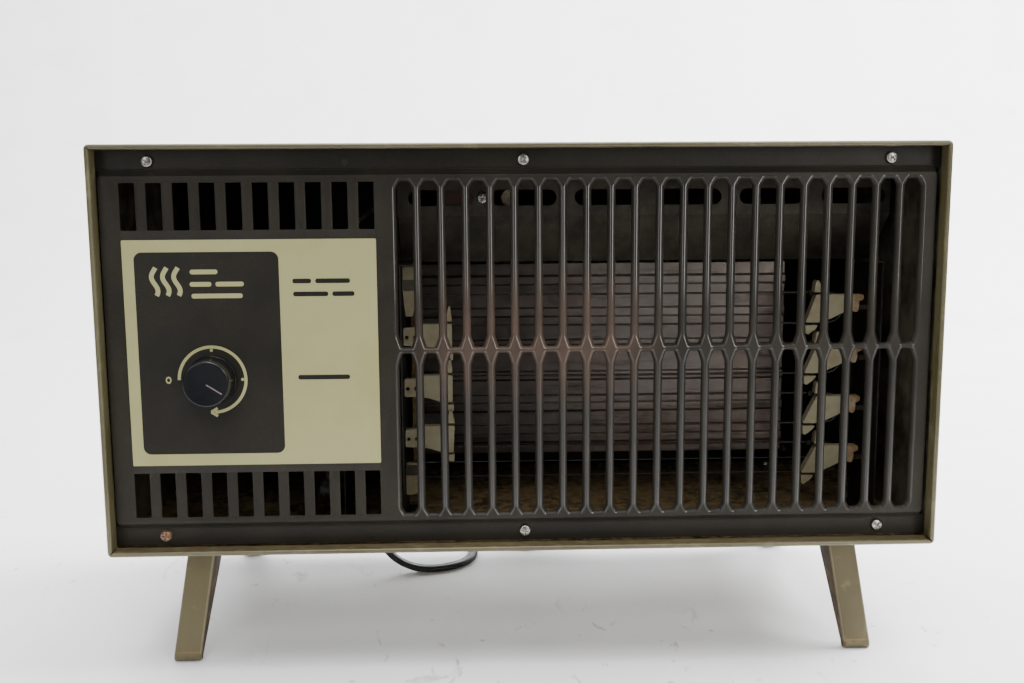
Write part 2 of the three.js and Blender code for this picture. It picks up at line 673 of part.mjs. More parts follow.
// Route of the seen cord, as X, depth, and height over the floor: straight down out of the boot,
// a quarter turn onto the floor, a bend to the back, and then straight to the coil.
const route = [
  [-98, 152, 43.7], [-98, 152, 41], [-98, 152, 38.3], [-96.8, 152, 29], [-93.2, 152, 20.3],
  [-87.5, 152, 12.8], [-80, 152, 7.1], [-71.3, 152, 3.5], [-62, 152, 2.3], [-54, 153.1, 2.3],
  [-46.5, 156.2, 2.3], [-40.1, 161.1, 2.3], [-35.2, 167.5, 2.3], [-32.1, 175, 2.3], [-31, 183, 2.3],
  [-31, 190, 2.3], [-31, 197, 2.3], [-31, 204, 2.3], [-31, 210, 2.3],
];

// The flat cord's section: local x is across the flat where the path starts straight down.
function cordTube(points, steps, acrossX) {
  const path = new THREE.CatmullRomCurve3(points.map(([x, d, z]) => new THREE.Vector3(x, depth(d), z)));
  const [a, b] = acrossX ? [cord.width / 2, cord.thickness / 2] : [cord.thickness / 2, cord.width / 2];
  const section = new THREE.Shape(Array.from({ length: 10 }, (_, i) => {
    const turn = (Math.PI / 5) * (i + 0.5);
    return new THREE.Vector2(a * Math.cos(turn), b * Math.sin(turn));
  }));
  return new THREE.ExtrudeGeometry(section, { steps, bevelEnabled: false, extrudePath: path });
}

function coilRing() {
  const [inner, outer] = [coil.radius - coil.band / 2, coil.radius + coil.band / 2];
  const profile = [
    [inner, 1.2], [inner + 1, 0.2], [outer - 1, 0.2], [outer, 1.2],
    [outer, coil.height - 1], [outer - 1, coil.height], [inner + 1, coil.height], [inner, coil.height - 1],
  ];
  const points = [...profile, profile[0]].map(([r, z]) => new THREE.Vector2(r, z));
  return new THREE.LatheGeometry(points, 40).rotateX(Math.PI / 2).translate(coil.x, depth(coil.d), 0);
}

const tailD = coil.d + coil.radius;

// A two-pin plug lying on its flat side, with its tapered neck towards the coil.
function plug() {
  const x = tail.endX + gap;
  const turned = (profile, segments) => new THREE.LatheGeometry(
    profile.map(([r, along]) => new THREE.Vector2(r, along)), segments).rotateZ(-Math.PI / 2);
  const neck = turned([[0, 0], [4.4, 0], [5.6, 12], [6.5, 17], [0, 17]], 16)
    .scale(1, 1, 0.86).translate(x, depth(tailD), 5.9);
  const body = new THREE.ExtrudeGeometry(new THREE.Shape([
    new THREE.Vector2(15, -7), new THREE.Vector2(20, -11.5), new THREE.Vector2(36, -13),
    new THREE.Vector2(36, 13), new THREE.Vector2(20, 11.5), new THREE.Vector2(15, 7),
  ]), { depth: 11.4, bevelEnabled: false }).translate(x, depth(tailD), 0.2);
  const pin = (side) =>
    new THREE.BoxGeometry(18, 1.6, 6.4).translate(x + 36 + 8, depth(tailD) + side * 6.35, 5.9);
  return join([neck, body, pin(-1), pin(1)]);
}

piece('strain_relief', strainRelief(), blackPlastic);
piece('power_cord', cordTube(route, 38, true), cordRubber);
piece('cord_coil', coilRing(), cordRubber);
piece('cord_tail', cordTube([
  [tail.startX, tailD, 2.3], [52, tailD, 3.2], [61, tailD, 5], [tail.endX, tailD, 5.9],
], 10, true), cordRubber);
piece('cord_plug', plug(), blackPlastic);

export default heater;
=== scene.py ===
import json
import math
import random
from contextlib import contextmanager

import bmesh
import bpy
import numpy as np
from mathutils import Matrix, Vector
from mathutils.geometry import delaunay_2d_cdt

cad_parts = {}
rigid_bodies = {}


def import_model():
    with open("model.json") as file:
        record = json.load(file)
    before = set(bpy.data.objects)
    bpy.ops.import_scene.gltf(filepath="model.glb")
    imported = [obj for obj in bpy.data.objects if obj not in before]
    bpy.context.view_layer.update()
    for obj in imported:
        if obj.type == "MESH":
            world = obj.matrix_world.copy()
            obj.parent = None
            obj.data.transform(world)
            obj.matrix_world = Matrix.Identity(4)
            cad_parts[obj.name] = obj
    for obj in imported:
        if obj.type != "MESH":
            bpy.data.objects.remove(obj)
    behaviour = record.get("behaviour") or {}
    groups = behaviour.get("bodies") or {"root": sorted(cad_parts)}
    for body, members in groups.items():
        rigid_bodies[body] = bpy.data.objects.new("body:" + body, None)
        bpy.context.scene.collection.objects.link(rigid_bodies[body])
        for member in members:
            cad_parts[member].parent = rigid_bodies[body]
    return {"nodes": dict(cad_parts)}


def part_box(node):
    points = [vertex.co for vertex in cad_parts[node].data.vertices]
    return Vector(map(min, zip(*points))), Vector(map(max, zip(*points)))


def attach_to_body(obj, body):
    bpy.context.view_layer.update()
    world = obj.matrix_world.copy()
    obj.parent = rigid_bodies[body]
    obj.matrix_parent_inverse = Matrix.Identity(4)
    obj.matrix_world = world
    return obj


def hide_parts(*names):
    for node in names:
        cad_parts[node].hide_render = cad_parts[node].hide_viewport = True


for leftover in list(bpy.data.objects):
    bpy.data.objects.remove(leftover)
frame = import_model()
bpy.context.view_layer.update()

# ---- frame ----
# Shapes are given in millimetres as x, depth d behind the case's front lip, and height h over the
# underside of the case. at() turns them into the row frame, in metres.

MM = 0.001
case_lo, case_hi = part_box("case_wrapper")
LIP, BASE = case_lo.y, case_lo.z
CASE_W, CASE_D, CASE_H = ((hi - lo) / MM for lo, hi in zip(case_lo, case_hi))
LEG = BASE / MM
MID = CASE_H / 2
HALF_W = CASE_W / 2


def at(x, d, h):
    return (x * MM, LIP + d * MM, BASE + h * MM)


def mm_box(node):
    """A CAD node's limits as ((x0, x1), (d0, d1), (h0, h1)) in millimetres."""
    lo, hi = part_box(node)
    return tuple(((a - start) / MM, (b - start) / MM) for a, b, start in zip(lo, hi, (0.0, LIP, BASE)))


def middle(node):
    """The middle of a CAD node's limits, as x, d, h."""
    return [(low + high) / 2 for low, high in mm_box(node)]


def add_object(name, data):
    thing = bpy.data.objects.new(name, data)
    bpy.context.scene.collection.objects.link(thing)
    return thing


# ---- camera ----

LENS = 36.914
CAMERA_AT = (-0.02441, -0.65572, 0.25866)
CAMERA_TURN = (1.7894, 7.7237, -0.3752)  # degrees to the right, down, and about the line of sight


def make_camera():
    data = bpy.data.cameras.new("camera")
    data.lens, data.sensor_width = LENS, 36.0
    data.clip_start, data.clip_end = 0.02, 30.0
    yaw, pitch, roll = (math.radians(a) for a in CAMERA_TURN)
    ahead = Vector((math.sin(yaw) * math.cos(pitch), math.cos(yaw) * math.cos(pitch), -math.sin(pitch)))
    level = ahead.cross(Vector((0, 0, 1))).normalized()
    up = level.cross(ahead)
    turn = Matrix((level * math.cos(roll) + up * math.sin(roll),
                   up * math.cos(roll) - level * math.sin(roll), -ahead)).transposed()
    camera = add_object("camera", data)
    camera.matrix_world = Matrix.Translation(CAMERA_AT) @ turn.to_4x4()
    bpy.context.scene.camera = camera


make_camera()

# ---- meshes ----

WELD = 2e-6  # metres


@contextmanager
def editing(mesh):
    work = bmesh.new()
    work.from_mesh(mesh)
    yield work
    work.to_mesh(mesh)
    work.free()


def soften(work, sharp):
    """Smooth faces. Edges that turn more than `sharp` degrees stay sharp."""
    for face in work.faces:
        face.smooth = True
    for edge in work.edges:
        edge.smooth = len(edge.link_faces) == 2 and edge.calc_face_angle(0.0) < math.radians(sharp)


def solid(name, points, faces, materials=(), kinds=(), weld=WELD):
    """A mesh with its coinciding points joined and its faces turned outwards."""
    mesh = bpy.data.meshes.new(name)
    mesh.from_pydata(points, [], faces)
    for material in materials:
        mesh.materials.append(material)
    if kinds:
        mesh.polygons.foreach_set("material_index", kinds)
    with editing(mesh) as work:
        bmesh.ops.remove_doubles(work, verts=work.verts, dist=weld)
        bmesh.ops.recalc_face_normals(work, faces=work.faces)
    return mesh


def attach(name, mesh, body, replaces=()):
    piece = add_object(name, mesh)
    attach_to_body(piece, body)
    if replaces:
        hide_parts(*replaces)
    return piece


class Shape:
    """Points and faces in millimetres, as x, d, h, with a material number for each face."""

    def __init__(self):
        self.points, self.faces, self.kinds = [], [], []

    def add(self, points, faces, kind=0):
        start = len(self.points)
        self.points += [tuple(p) for p in points]
        self.faces += [[start + i for i in face] for face in faces]
        self.kinds += [kind] * len(faces)

    def grid(self, rows, kind=0, around=True, loop=False, caps=False):
        """Quads between rows of points. `around` closes each row, `loop` closes the last row onto the
        first, and `caps` fills the first and the last row."""
        wide, tall = len(rows[0]), len(rows)
        faces = []
        for j in range(tall if loop else tall - 1):
            for i in range(wide if around else wide - 1):
                a, b = j * wide, (j + 1) % tall * wide
                after = (i + 1) % wide
                faces.append([a + i, a + after, b + after, b + i])
        if caps:
            faces += [list(range(wide)), [(tall - 1) * wide + i for i in range(wide)]]
        self.add([p for row in rows for p in row], faces, kind)

    def sheet(self, outer, holes, *depths, kind=0):
        """Flat faces of an outline in x and h with holes in it, at each of the depths."""
        points, faces = filled(outer, holes)
        for d in depths:
            self.add(deep(points, d), faces, kind)

    def slab(self, outer, d0, d1, holes=(), kind=0):
        """A flat plate of an outline, from depth d0 to d1."""
        self.sheet(outer, holes, d0, d1, kind=kind)
        for outline in [outer, *holes]:
            self.grid([deep(outline, d) for d in (d0, d1)], kind)

    def block(self, x0, x1, d0, d1, h0, h1, kind=0):
        self.slab([(x0, h0), (x1, h0), (x1, h1), (x0, h1)], d0, d1, kind=kind)

    def turned(self, profile, x, h, steps):
        """A turned solid about an axis to the back through (x, h). The profile holds radius and depth."""
        self.grid([deep(circle(x, h, max(r, 1e-4), steps), d) for r, d in profile], caps=True)

    def build(self, name, materials, slot, replaces=(), body="cabinet", sharp=35, weld=WELD, place=at):
        points = [place(*p) for p in self.points]
        mesh = solid(name, points, self.faces, materials, self.kinds, weld)
        with editing(mesh) as work:
            soften(work, sharp)
        return attach(name, mesh, body, replaces)


def round_edges(piece, width, angle):
    bevel = piece.modifiers.new("edges", "BEVEL")
    bevel.width, bevel.segments = width * MM, 2
    bevel.limit_method, bevel.angle_limit = "ANGLE", math.radians(angle)


def refined(node, material, width, slot, body="cabinet", sharp=35):
    """A copy of a CAD node with its flat faces joined up and its edges rounded, which stands for it."""
    mesh = frame["nodes"][node].data.copy()
    mesh.materials.clear()
    mesh.materials.append(material)
    with editing(mesh) as work:
        bmesh.ops.remove_doubles(work, verts=work.verts, dist=WELD)
        bmesh.ops.dissolve_limit(work, angle_limit=math.radians(1.0), verts=work.verts, edges=work.edges)
        for face in work.faces:
            face.material_index = 0
        soften(work, sharp)
    piece = attach(f"{node}_finished", mesh, body, [node])
    if width:
        round_edges(piece, width, sharp)
        piece.modifiers.new("normals", "WEIGHTED_NORMAL").keep_sharp = False


# ---- outlines ----


def deep(outline, d):
    """An outline in x and h, at depth d."""
    return [(x, d, h) for x, h in outline]


def angles(start, end, steps):
    """Even steps between two angles given in degrees, in radians."""
    return np.radians(np.linspace(start, end, steps + 1))


def arc(cx, cy, radius, start, end, steps):
    return [(cx + radius * math.cos(t), cy + radius * math.sin(t)) for t in angles(start, end, steps)]


def circle(cx, cy, radius, steps):
    return arc(cx, cy, radius, 0, 360, steps)[:-1]


def rounded_rect(x0, x1, y0, y1, radius, steps=5):
    corners = ((x1, y0, -1, 1), (x1, y1, -1, -1), (x0, y1, 1, -1), (x0, y0, 1, 1))
    return [p for i, (x, y, sx, sy) in enumerate(corners)
            for p in arc(x + sx * radius, y + sy * radius, radius, 90 * i - 90, 90 * i, steps)]


def rounded(points, cut, steps=5):
    """A closed outline with each corner rounded, from `cut` before it to `cut` after it."""
    result = []
    for i, (x, y) in enumerate(points):
        ends = []
        for ox, oy in (points[i - 1], points[(i + 1) % len(points)]):
            share = min(cut / math.hypot(ox - x, oy - y), 0.48)
            ends.append((x + (ox - x) * share, y + (oy - y) * share))
        (ax, ay), (bx, by) = ends
        for t in (k / steps for k in range(steps + 1)):
            result.append(((1 - t) ** 2 * ax + 2 * t * (1 - t) * x + t * t * bx,
                           (1 - t) ** 2 * ay + 2 * t * (1 - t) * y + t * t * by))
    return result


def offset_outline(points, by):
    """A counter-clockwise outline with its edge i moved outwards by by[i]."""
    lines = []
    for (x0, y0), (x1, y1), move in zip(points, points[1:] + points[:1], by):
        length = math.hypot(x1 - x0, y1 - y0)
        nx, ny = (y1 - y0) / length, -(x1 - x0) / length
        lines.append((nx, ny, nx * x0 + ny * y0 + move))
    result = []
    for (a1, b1, c1), (a2, b2, c2) in zip(lines[-1:] + lines[:-1], lines):
        det = a1 * b2 - a2 * b1
        result.append(((c1 * b2 - c2 * b1) / det, (a1 * c2 - a2 * c1) / det))
    return result


def inside(points, outline):
    """Which of the points lie in an outline, as a numpy mask."""
    x, y = points[:, 0], points[:, 1]
    hit = np.zeros(len(points), bool)
    for (x0, y0), (x1, y1) in zip(outline, outline[1:] + outline[:1]):
        crosses = (y0 > y) != (y1 > y)
        hit ^= crosses & (x < (x1 - x0) * (y - y0) / (y1 - y0 + 1e-30) + x0)
    return hit


def filled(outer, holes=()):
    """Triangles of a flat outline with holes in it, as (points, triangles)."""
    points, edges = [], []
    for outline in [outer, *holes]:
        start, count = len(points), len(outline)
        points += outline
        edges += [(start + i, start + (i + 1) % count) for i in range(count)]
    made, _, faces, *_ = delaunay_2d_cdt([Vector(p) for p in points], edges, [], 1, 1e-7)
    made = [tuple(p) for p in made]
    centres = np.array([[sum(made[i][k] for i in f) / len(f) for k in (0, 1)] for f in faces])
    keep = inside(centres, outer)
    for hole in holes:
        keep &= ~inside(centres, hole)
    return made, [list(f) for f, k in zip(faces, keep) if k]


# ---- materials ----


def linear(*colour):
    """A colour of 0 to 255 in the linear values that shaders take."""
    parts = [c / 255 for c in colour]
    return (*(c / 12.92 if c <= 0.04045 else ((c + 0.055) / 1.055) ** 2.4 for c in parts), 1.0)


def darker(colour, share):
    return tuple(c * share for c in colour)


class Finish:
    """A procedural material built up in layers on one Principled shader. Texture sizes are in
    metres: a noise of scale 400 has patches about 2.5 mm across."""

    def __init__(self, name, colour, roughness, metallic=0.0, specular=0.5, coat=0.0, coat_roughness=0.1):
        self.material = bpy.data.materials.new(name)
        self.material.use_nodes = True
        self.nodes, self.links = self.material.node_tree.nodes, self.material.node_tree.links
        self.inputs = self.nodes["Principled BSDF"].inputs
        self.colour = linear(*colour)
        for key, value in (("Base Color", self.colour), ("Roughness", roughness), ("Metallic", metallic),
                           ("Specular IOR Level", specular), ("Coat Weight", coat),
                           ("Coat Roughness", coat_roughness)):
            self.inputs[key].default_value = value
        self.place = self.nodes.new("ShaderNodeTexCoord").outputs["Object"]

    def node(self, kind, output, inputs=(), **settings):
        """An output of a new node. Its inputs are numbers, colours or other nodes' outputs."""
        node = self.nodes.new("ShaderNode" + kind)
        for key, value in settings.items():
            setattr(node, key, value)
        for key, value in dict(inputs).items():
            self.feed(node.inputs[key], value)
        return node.outputs[output]

    def feed(self, socket, value):
        if isinstance(value, bpy.types.NodeSocket):
            self.links.new(value, socket)
        else:
            socket.default_value = value

    def noise(self, scale, detail=4.0, roughness=0.55, distortion=0.0, stretch=None):
        place = self.place
        if stretch:
            place = self.node("Mapping", "Vector", {"Vector": place, "Scale": stretch})
        return self.node("TexNoise", "Fac", {"Vector": place, "Scale": scale, "Detail": detail,
                                             "Roughness": roughness, "Distortion": distortion})

    def cells(self, scale, output="Distance"):
        return self.node("TexVoronoi", output, {"Vector": self.place, "Scale": scale})

    def wave(self, scale, axis, distortion=0.0):
        return self.node("TexWave", "Fac", {"Vector": self.place, "Scale": scale, "Distortion": distortion,
                                            "Detail": 0.0}, bands_direction=axis)

    def span(self, value, low, high, to_low=0.0, to_high=1.0, smooth=False):
        return self.node("MapRange", "Result", {"Value": value, "From Min": low, "From Max": high,
                                                "To Min": to_low, "To Max": to_high},
                         clamp=True, interpolation_type="SMOOTHSTEP" if smooth else "LINEAR")

    def times(self, first, *others):
        for other in others:
            first = self.node("Math", "Value", {0: first, 1: other}, operation="MULTIPLY")
        return first

    def axis(self, name, of=None):
        return self.node("SeparateXYZ", name, {"Vector": of or self.place})

    def facing(self, name):
        return self.axis(name, self.node("NewGeometry", "Normal"))

    def tint(self, colour, *masks):
        """Lays a colour over what is there, as far as the product of the masks says."""
        mix = {"Factor": self.times(*masks), 6: self.colour, 7: linear(*colour)}
        self.colour = self.node("Mix", 2, mix, data_type="RGBA")

    def patch(self, colour, noise, span, *masks):
        """A tint where a noise lies in a span, and where the masks let it."""
        self.tint(colour, self.span(self.noise(*noise), *span), *masks)

    def done(self, grain=None, low=0.0, high=1.0, relief=None, distance=0.0, strength=1.0):
        """The material, its roughness from low to high along a grain and its bumps from a relief. Both
        are outputs or a noise's arguments."""
        grain, relief = (self.noise(*v) if isinstance(v, tuple) else v for v in (grain, relief))
        self.feed(self.inputs["Base Color"], self.colour)
        if grain:
            self.feed(self.inputs["Roughness"], self.span(grain, 0.0, 1.0, low, high))
        if relief:
            self.feed(self.inputs["Normal"], self.node("Bump", "Normal", {
                "Strength": strength, "Distance": distance, "Height": relief}))
        return self.material


def patchy(name, colour, roughness, patches, *surface, **settings):
    """A finish with patches of noise over one colour."""
    f = Finish(name, colour, roughness, **settings)
    for patch in patches:
        f.patch(*patch)
    return f.done(*surface)


def case_paint(name="case_paint", colour=(97, 91, 65), coat=0.4):
    """Olive enamel: rubbed pale, dirty on the lip's lower ledge, and lighter along the feet's crease as a
    painted highlight.
    """
    f = Finish(name, colour, 0.42, specular=0.35, coat=coat, coat_roughness=0.2)
    f.patch(tuple(c - 13 for c in colour), (14, 5), (0.42, 0.62))
    f.patch((132, 124, 94), (90, 6, 0.6), (0.56, 0.72, 0.0, 0.45))
    ledge = f.times(f.span(f.axis("Z"), BASE, BASE + 0.012, 1.0, 0.0), f.span(f.facing("Z"), 0.5, 0.9))
    f.patch((74, 60, 40), (160, 6, 0.7), (0.36, 0.58), ledge)
    f.patch((50, 40, 28), (900, 3, 0.6), (0.69, 0.74), f.span(f.noise(30, 2), 0.45, 0.6))
    # Painted highlight: a lighter orange-brown band 5 to 6.6 mm over the floor, along the feet's crease.
    crease_highlight = f.times(f.span(f.axis("Z"), 0.0050, 0.0056), f.span(f.axis("Z"), 0.0066, 0.0060))
    f.patch((138, 104, 66), (420, 4, 0.65), (0.4, 0.56, 0.05, 0.5), crease_highlight)
    return f.done((60, 5), 0.3, 0.52, (1400, 2), 0.00008, 0.5)


def inside_paint():
    """Bare overspray inside the case, pale with dust where it lies flat, and darkened towards the back by
    painted shade.
    """
    f = Finish("case_inside", (108, 102, 86), 0.65, specular=0.1)
    lying = f.span(f.facing("Z"), 0.3, 0.9)
    f.tint((128, 112, 84), lying)
    f.patch((62, 57, 44), (30, 5, 0.6), (0.4, 0.62))
    f.patch((156, 128, 88), (150, 6, 0.7), (0.44, 0.62), lying)
    # Painted shade: upright faces darken towards the back, then every face at the very back goes nearly
    # black.
    f.tint((15, 14, 11), f.span(f.axis("Y"), LIP + 0.13, LIP + 0.165), f.span(f.facing("Z"), 0.3, 0.0))
    f.tint((8, 7, 6), f.span(f.axis("Y"), LIP + 0.184, LIP + 0.19))
    return f.done((120, 5), 0.55, 0.85, (700, 4), 0.0001, 0.6)


def panel_paint(name="panel_paint", coat=0.0, heated=True, specular=0.26, colour=(40, 36, 28)):
    """Dark brown enamel. Over the element its bars have browned with the heat."""
    f = Finish(name, colour, 0.46, specular=specular, coat=coat, coat_roughness=0.09)
    f.inputs["Coat IOR"].default_value = 1.7
    f.patch(darker(colour, 0.83), (26, 4), (0.4, 0.62))
    f.patch((58, 54, 47), (1300, 3, 0.6), (0.56, 0.75, 0.0, 0.6))
    if heated:
        x, z, centre = f.axis("X"), f.axis("Z"), BASE + MID * MM
        browned = [f.span(value, low, high, smooth=True) for value, low, high in (
            (x, -0.068, -0.035), (x, 0.09, 0.04),
            (z, centre - 0.04, centre - 0.006), (z, centre + 0.062, centre + 0.010))]
        f.patch((86, 69, 58), (45, 4), (0.3, 0.7, 0.4, 0.9), *browned)
    return f.done((80, 5), 0.38, 0.54, (1600, 2), 0.00006, 0.5)


def dark_ink(name="label_dark", colour=(37, 34, 28)):
    return patchy(name, colour, 0.5, [((52, 48, 41), (900, 4, 0.65), (0.54, 0.72, 0.0, 0.7)),
                                      ((31, 29, 24), (30, 4), (0.45, 0.65))],
                  (120, 4), 0.34, 0.5, (1500, 2), 0.00005, 0.5, specular=0.22)


def metal(name, colour, dark, rough, grain):
    return patchy(name, colour, rough[0], [(dark, (grain, 5, 0.65), (0.45, 0.68))],
                  (grain * 1.7, 4), *rough, (grain * 4, 3), 0.00003, 0.5, metallic=1.0)


def dusty_steel(name="inner_steel", colour=(74, 70, 58)):
    f = Finish(name, colour, 0.5, metallic=0.35)
    f.patch(darker(colour, 0.7), (40, 5, 0.6), (0.4, 0.62))
    f.patch((110, 92, 66), (220, 5, 0.7), (0.52, 0.66), f.span(f.facing("Z"), 0.2, 0.9, 0.15, 1.0))
    return f.done((150, 5), 0.4, 0.75, (900, 4), 0.00008, 0.6)


def galvanized():
    """Spangled zinc, stained by heat, with painted shade darkening it towards its left side."""
    f = Finish("reflector_steel", (130, 123, 116), 0.4, metallic=0.8)
    spangle = f.node("SeparateColor", 0, {0: f.cells(210, "Color")}).node.outputs
    f.tint((118, 112, 110), f.span(spangle[0], 0.3, 0.9, 0.0, 0.5))
    f.patch((112, 95, 86), (16, 5, 0.6, 0.0, (0.5, 1, 1.4)), (0.42, 0.64, 0.0, 0.8))
    f.patch((96, 88, 62), (24, 5, 0.65, 0.6), (0.56, 0.7, 0.0, 0.6))
    f.patch((44, 40, 36), (60, 6, 0.7, 0.0, (0.25, 1, 2.4)), (0.53, 0.7, 0.0, 0.85))
    # Painted shade: darker towards the left side.
    f.patch((48, 44, 40), (34, 4), (0.25, 0.6, 0.55, 0.85), f.span(f.axis("X"), 0.075, -0.005, smooth=True))
    return f.done(spangle[1], 0.32, 0.52, (500, 4), 0.00006, 0.5)


def ceramic():
    """Cream clay, browned at its outer ends on the right."""
    f = Finish("insulator_ceramic", (134, 129, 103), 0.55, specular=0.35)
    f.patch((126, 112, 86), (120, 5, 0.6), (0.44, 0.64, 0.0, 0.85))
    f.patch((118, 88, 54), (260, 5, 0.6), (0.34, 0.56), f.span(f.axis("X"), 0.189, 0.199))
    f.patch((80, 64, 44), (700, 4, 0.7), (0.62, 0.76, 0.0, 0.8))
    return f.done((300, 4), 0.45, 0.75, (1300, 4), 0.0001, 0.7)


def black_plastic(name, rough, colour):
    return patchy(name, colour, rough[0], [((27, 28, 30), (160, 5, 0.6), (0.5, 0.75, 0.0, 0.5))],
                  (90, 5, 0.6), *rough, (1200, 3), 0.00002, 0.4, specular=0.45)


def winding():
    f = Finish("motor_winding", (150, 84, 46), 0.35, metallic=0.6)
    f.patch((96, 46, 26), (260, 4), (0.42, 0.62))
    return f.done((400, 4), 0.25, 0.5, f.wave(900, "DIAGONAL", 0.4), 0.0002, 0.9)


def laminations():
    f = Finish("motor_laminations", (88, 84, 76), 0.5, metallic=0.7)
    f.tint((50, 46, 40), f.span(f.wave(620, "Y"), 0.3, 0.6))
    f.patch((104, 70, 44), (160, 5, 0.7), (0.56, 0.7, 0.0, 0.8))
    return f.done((200, 4), 0.4, 0.7, f.wave(620, "Y"), 0.0001, 0.7)


def sleeve():
    f = Finish("lead_sleeve", (176, 166, 140), 0.8, specular=0.25)
    f.tint((124, 112, 88), f.span(f.cells(1500), 0.2, 0.7))
    return f.done((500, 3), 0.7, 0.9, f.cells(1500), 0.0002, 0.8)


PAINT = case_paint()
INSIDE = inside_paint()
LEG_PAINT = case_paint("leg_paint", (93, 84, 55), 0.1)
# A lighter copy of the leg paint, laid on the bend beside each leg's inner flange as a painted highlight.
BEND_HIGHLIGHT_PAINT = case_paint("bend_highlight_paint", (124, 114, 86), 0.1)
# Dark rusty primer for the legs' inner flanges and insides; on the inner flanges it also paints in the shade
# under the case.
GRIMY_AND_SHADED = patchy(
    "leg_primer_and_shade", (80, 62, 37), 0.65,
    [((44, 35, 24), (70, 6, 0.65), (0.38, 0.6)), ((104, 76, 46), (420, 5, 0.7), (0.6, 0.72, 0.0, 0.8))],
    (200, 4), 0.5, 0.8, (900, 4), 0.0001, 0.6, specular=0.15)
PANEL = panel_paint()
PANEL_EDGE = panel_paint("panel_edge", 1.0, colour=(45, 42, 36))
PANEL_DULL = panel_paint("panel_shoulder", specular=0.2, colour=(45, 42, 36))
BACK = panel_paint("back_panel_paint", heated=False)
CREAM = patchy(
    "label_cream", (166, 163, 116), 0.46,
    [((160, 154, 104), (22, 5, 0.6), (0.48, 0.7, 0.0, 0.7)),
     ((120, 112, 84), (600, 4, 0.7), (0.66, 0.76, 0.0, 0.6))],
    (120, 4), 0.34, 0.5, (1500, 2), 0.00004, 0.4, specular=0.28)
DARK = dark_ink()
INK = dark_ink("label_ink", (30, 28, 25))
POINTER = patchy("pointer_paint", (122, 112, 110), 0.5, [((110, 100, 98), (1500, 3), (0.45, 0.65))])
ZINC = metal("zinc", (196, 194, 186), (150, 146, 136), (0.18, 0.4), 600)
RUSTED = patchy("zinc_rusted", (176, 160, 142), 0.45, [((132, 84, 52), (700, 5, 0.7), (0.42, 0.58))],
                (900, 4), 0.4, 0.8, (1500, 4), 0.0001, 0.8, metallic=0.7)
DULL = metal("dull_zinc", (88, 86, 80), (60, 58, 54), (0.4, 0.6), 500)
INNER = dusty_steel()
SOOTY = dusty_steel("bracket_steel", (42, 40, 34))
REFLECT = galvanized()
CERAMIC = ceramic()
SCORCHED = patchy("insulator_scorched", (58, 50, 38), 0.8, [((34, 30, 25), (300, 5, 0.65), (0.4, 0.62))],
                  (300, 4), 0.7, 0.9, (1300, 4), 0.0001, 0.7, specular=0.2)
RIBBON = metal("element_ribbon", (64, 60, 58), (40, 36, 36), (0.35, 0.6), 500)
KNOB = black_plastic("knob_plastic", (0.12, 0.26), (15, 16, 19))
FITTING = black_plastic("fitting_plastic", (0.35, 0.6), (17, 17, 19))
JACKET = patchy("cord_jacket", (17, 17, 19), 0.42, [((34, 34, 35), (500, 5, 0.6), (0.5, 0.72, 0.0, 0.6))],
                (240, 5), 0.34, 0.62, (1800, 3), 0.00006, 0.5, specular=0.45)
BAKELITE = patchy(
    "switch_bakelite", (66, 44, 32), 0.4,
    [((52, 30, 22), (300, 5, 0.65), (0.42, 0.66)), ((120, 104, 84), (900, 4, 0.7), (0.62, 0.76, 0.0, 0.6))],
    (200, 4), 0.3, 0.55, (1400, 3), 0.00005, 0.5, specular=0.35)
COPPER = winding()
LAMINATIONS = laminations()
ALUMINIUM = metal("motor_aluminium", (176, 178, 178), (140, 140, 138), (0.3, 0.5), 240)
STEEL = metal("shaft_steel", (150, 148, 142), (110, 104, 96), (0.25, 0.45), 500)
BRASS = metal("terminal_brass", (96, 82, 54), (62, 52, 36), (0.35, 0.6), 500)
SLEEVE = sleeve()

# ---- power cord ----
# Metres in the row frame, with depths behind the lip: down out of the boot, round onto the floor, to the
# back, and then into the coil behind the case. DROP holds x and z, ALONG x and depth on the floor, and
# TAIL x, depth behind the coil's middle, and z.

CORD_WIDE, CORD_THICK = 0.0074, 0.0043
CORD_STEP, SMOOTHINGS, UNTWIST = 0.0022, 3, 0.15
BOOT_D = 0.152
CORD_EXIT = (-0.098, LIP + BOOT_D, 0.0437)
LYING = 0.0023
DROP = [(-0.098, 0.0437), (-0.098, 0.041), (-0.098, 0.0383), (-0.0968, 0.029), (-0.0932, 0.0203),
        (-0.0875, 0.0128), (-0.08, 0.0071), (-0.0713, 0.0035), (-0.062, LYING)]
ALONG = [(-0.054, 0.1531), (-0.0465, 0.1562), (-0.0401, 0.1611), (-0.0352, 0.1675), (-0.0321, 0.175),
         (-0.031, 0.183), (-0.031, 0.19), (-0.031, 0.197), (-0.031, 0.204), (-0.031, 0.21),
         (-0.0318, 0.22), (-0.0335, 0.23)]
COIL_X, COIL_D, COIL_R = 0.010, 0.243, 0.041
TAIL = [(0.0225, 0.0443, 0.0082), (0.0330, 0.0430, 0.0050), (0.0430, 0.0418, 0.0030),
        (0.0520, 0.0411, 0.0032), (0.0610, 0.0410, 0.0050), (0.0700, 0.0410, 0.0059)]
TURN_GAP = CORD_WIDE + 0.0003
LAYER = CORD_THICK + 0.0003
PLUG_X, PLUG_Z = 0.0703, 0.0059
PIN_GAP = 0.0127


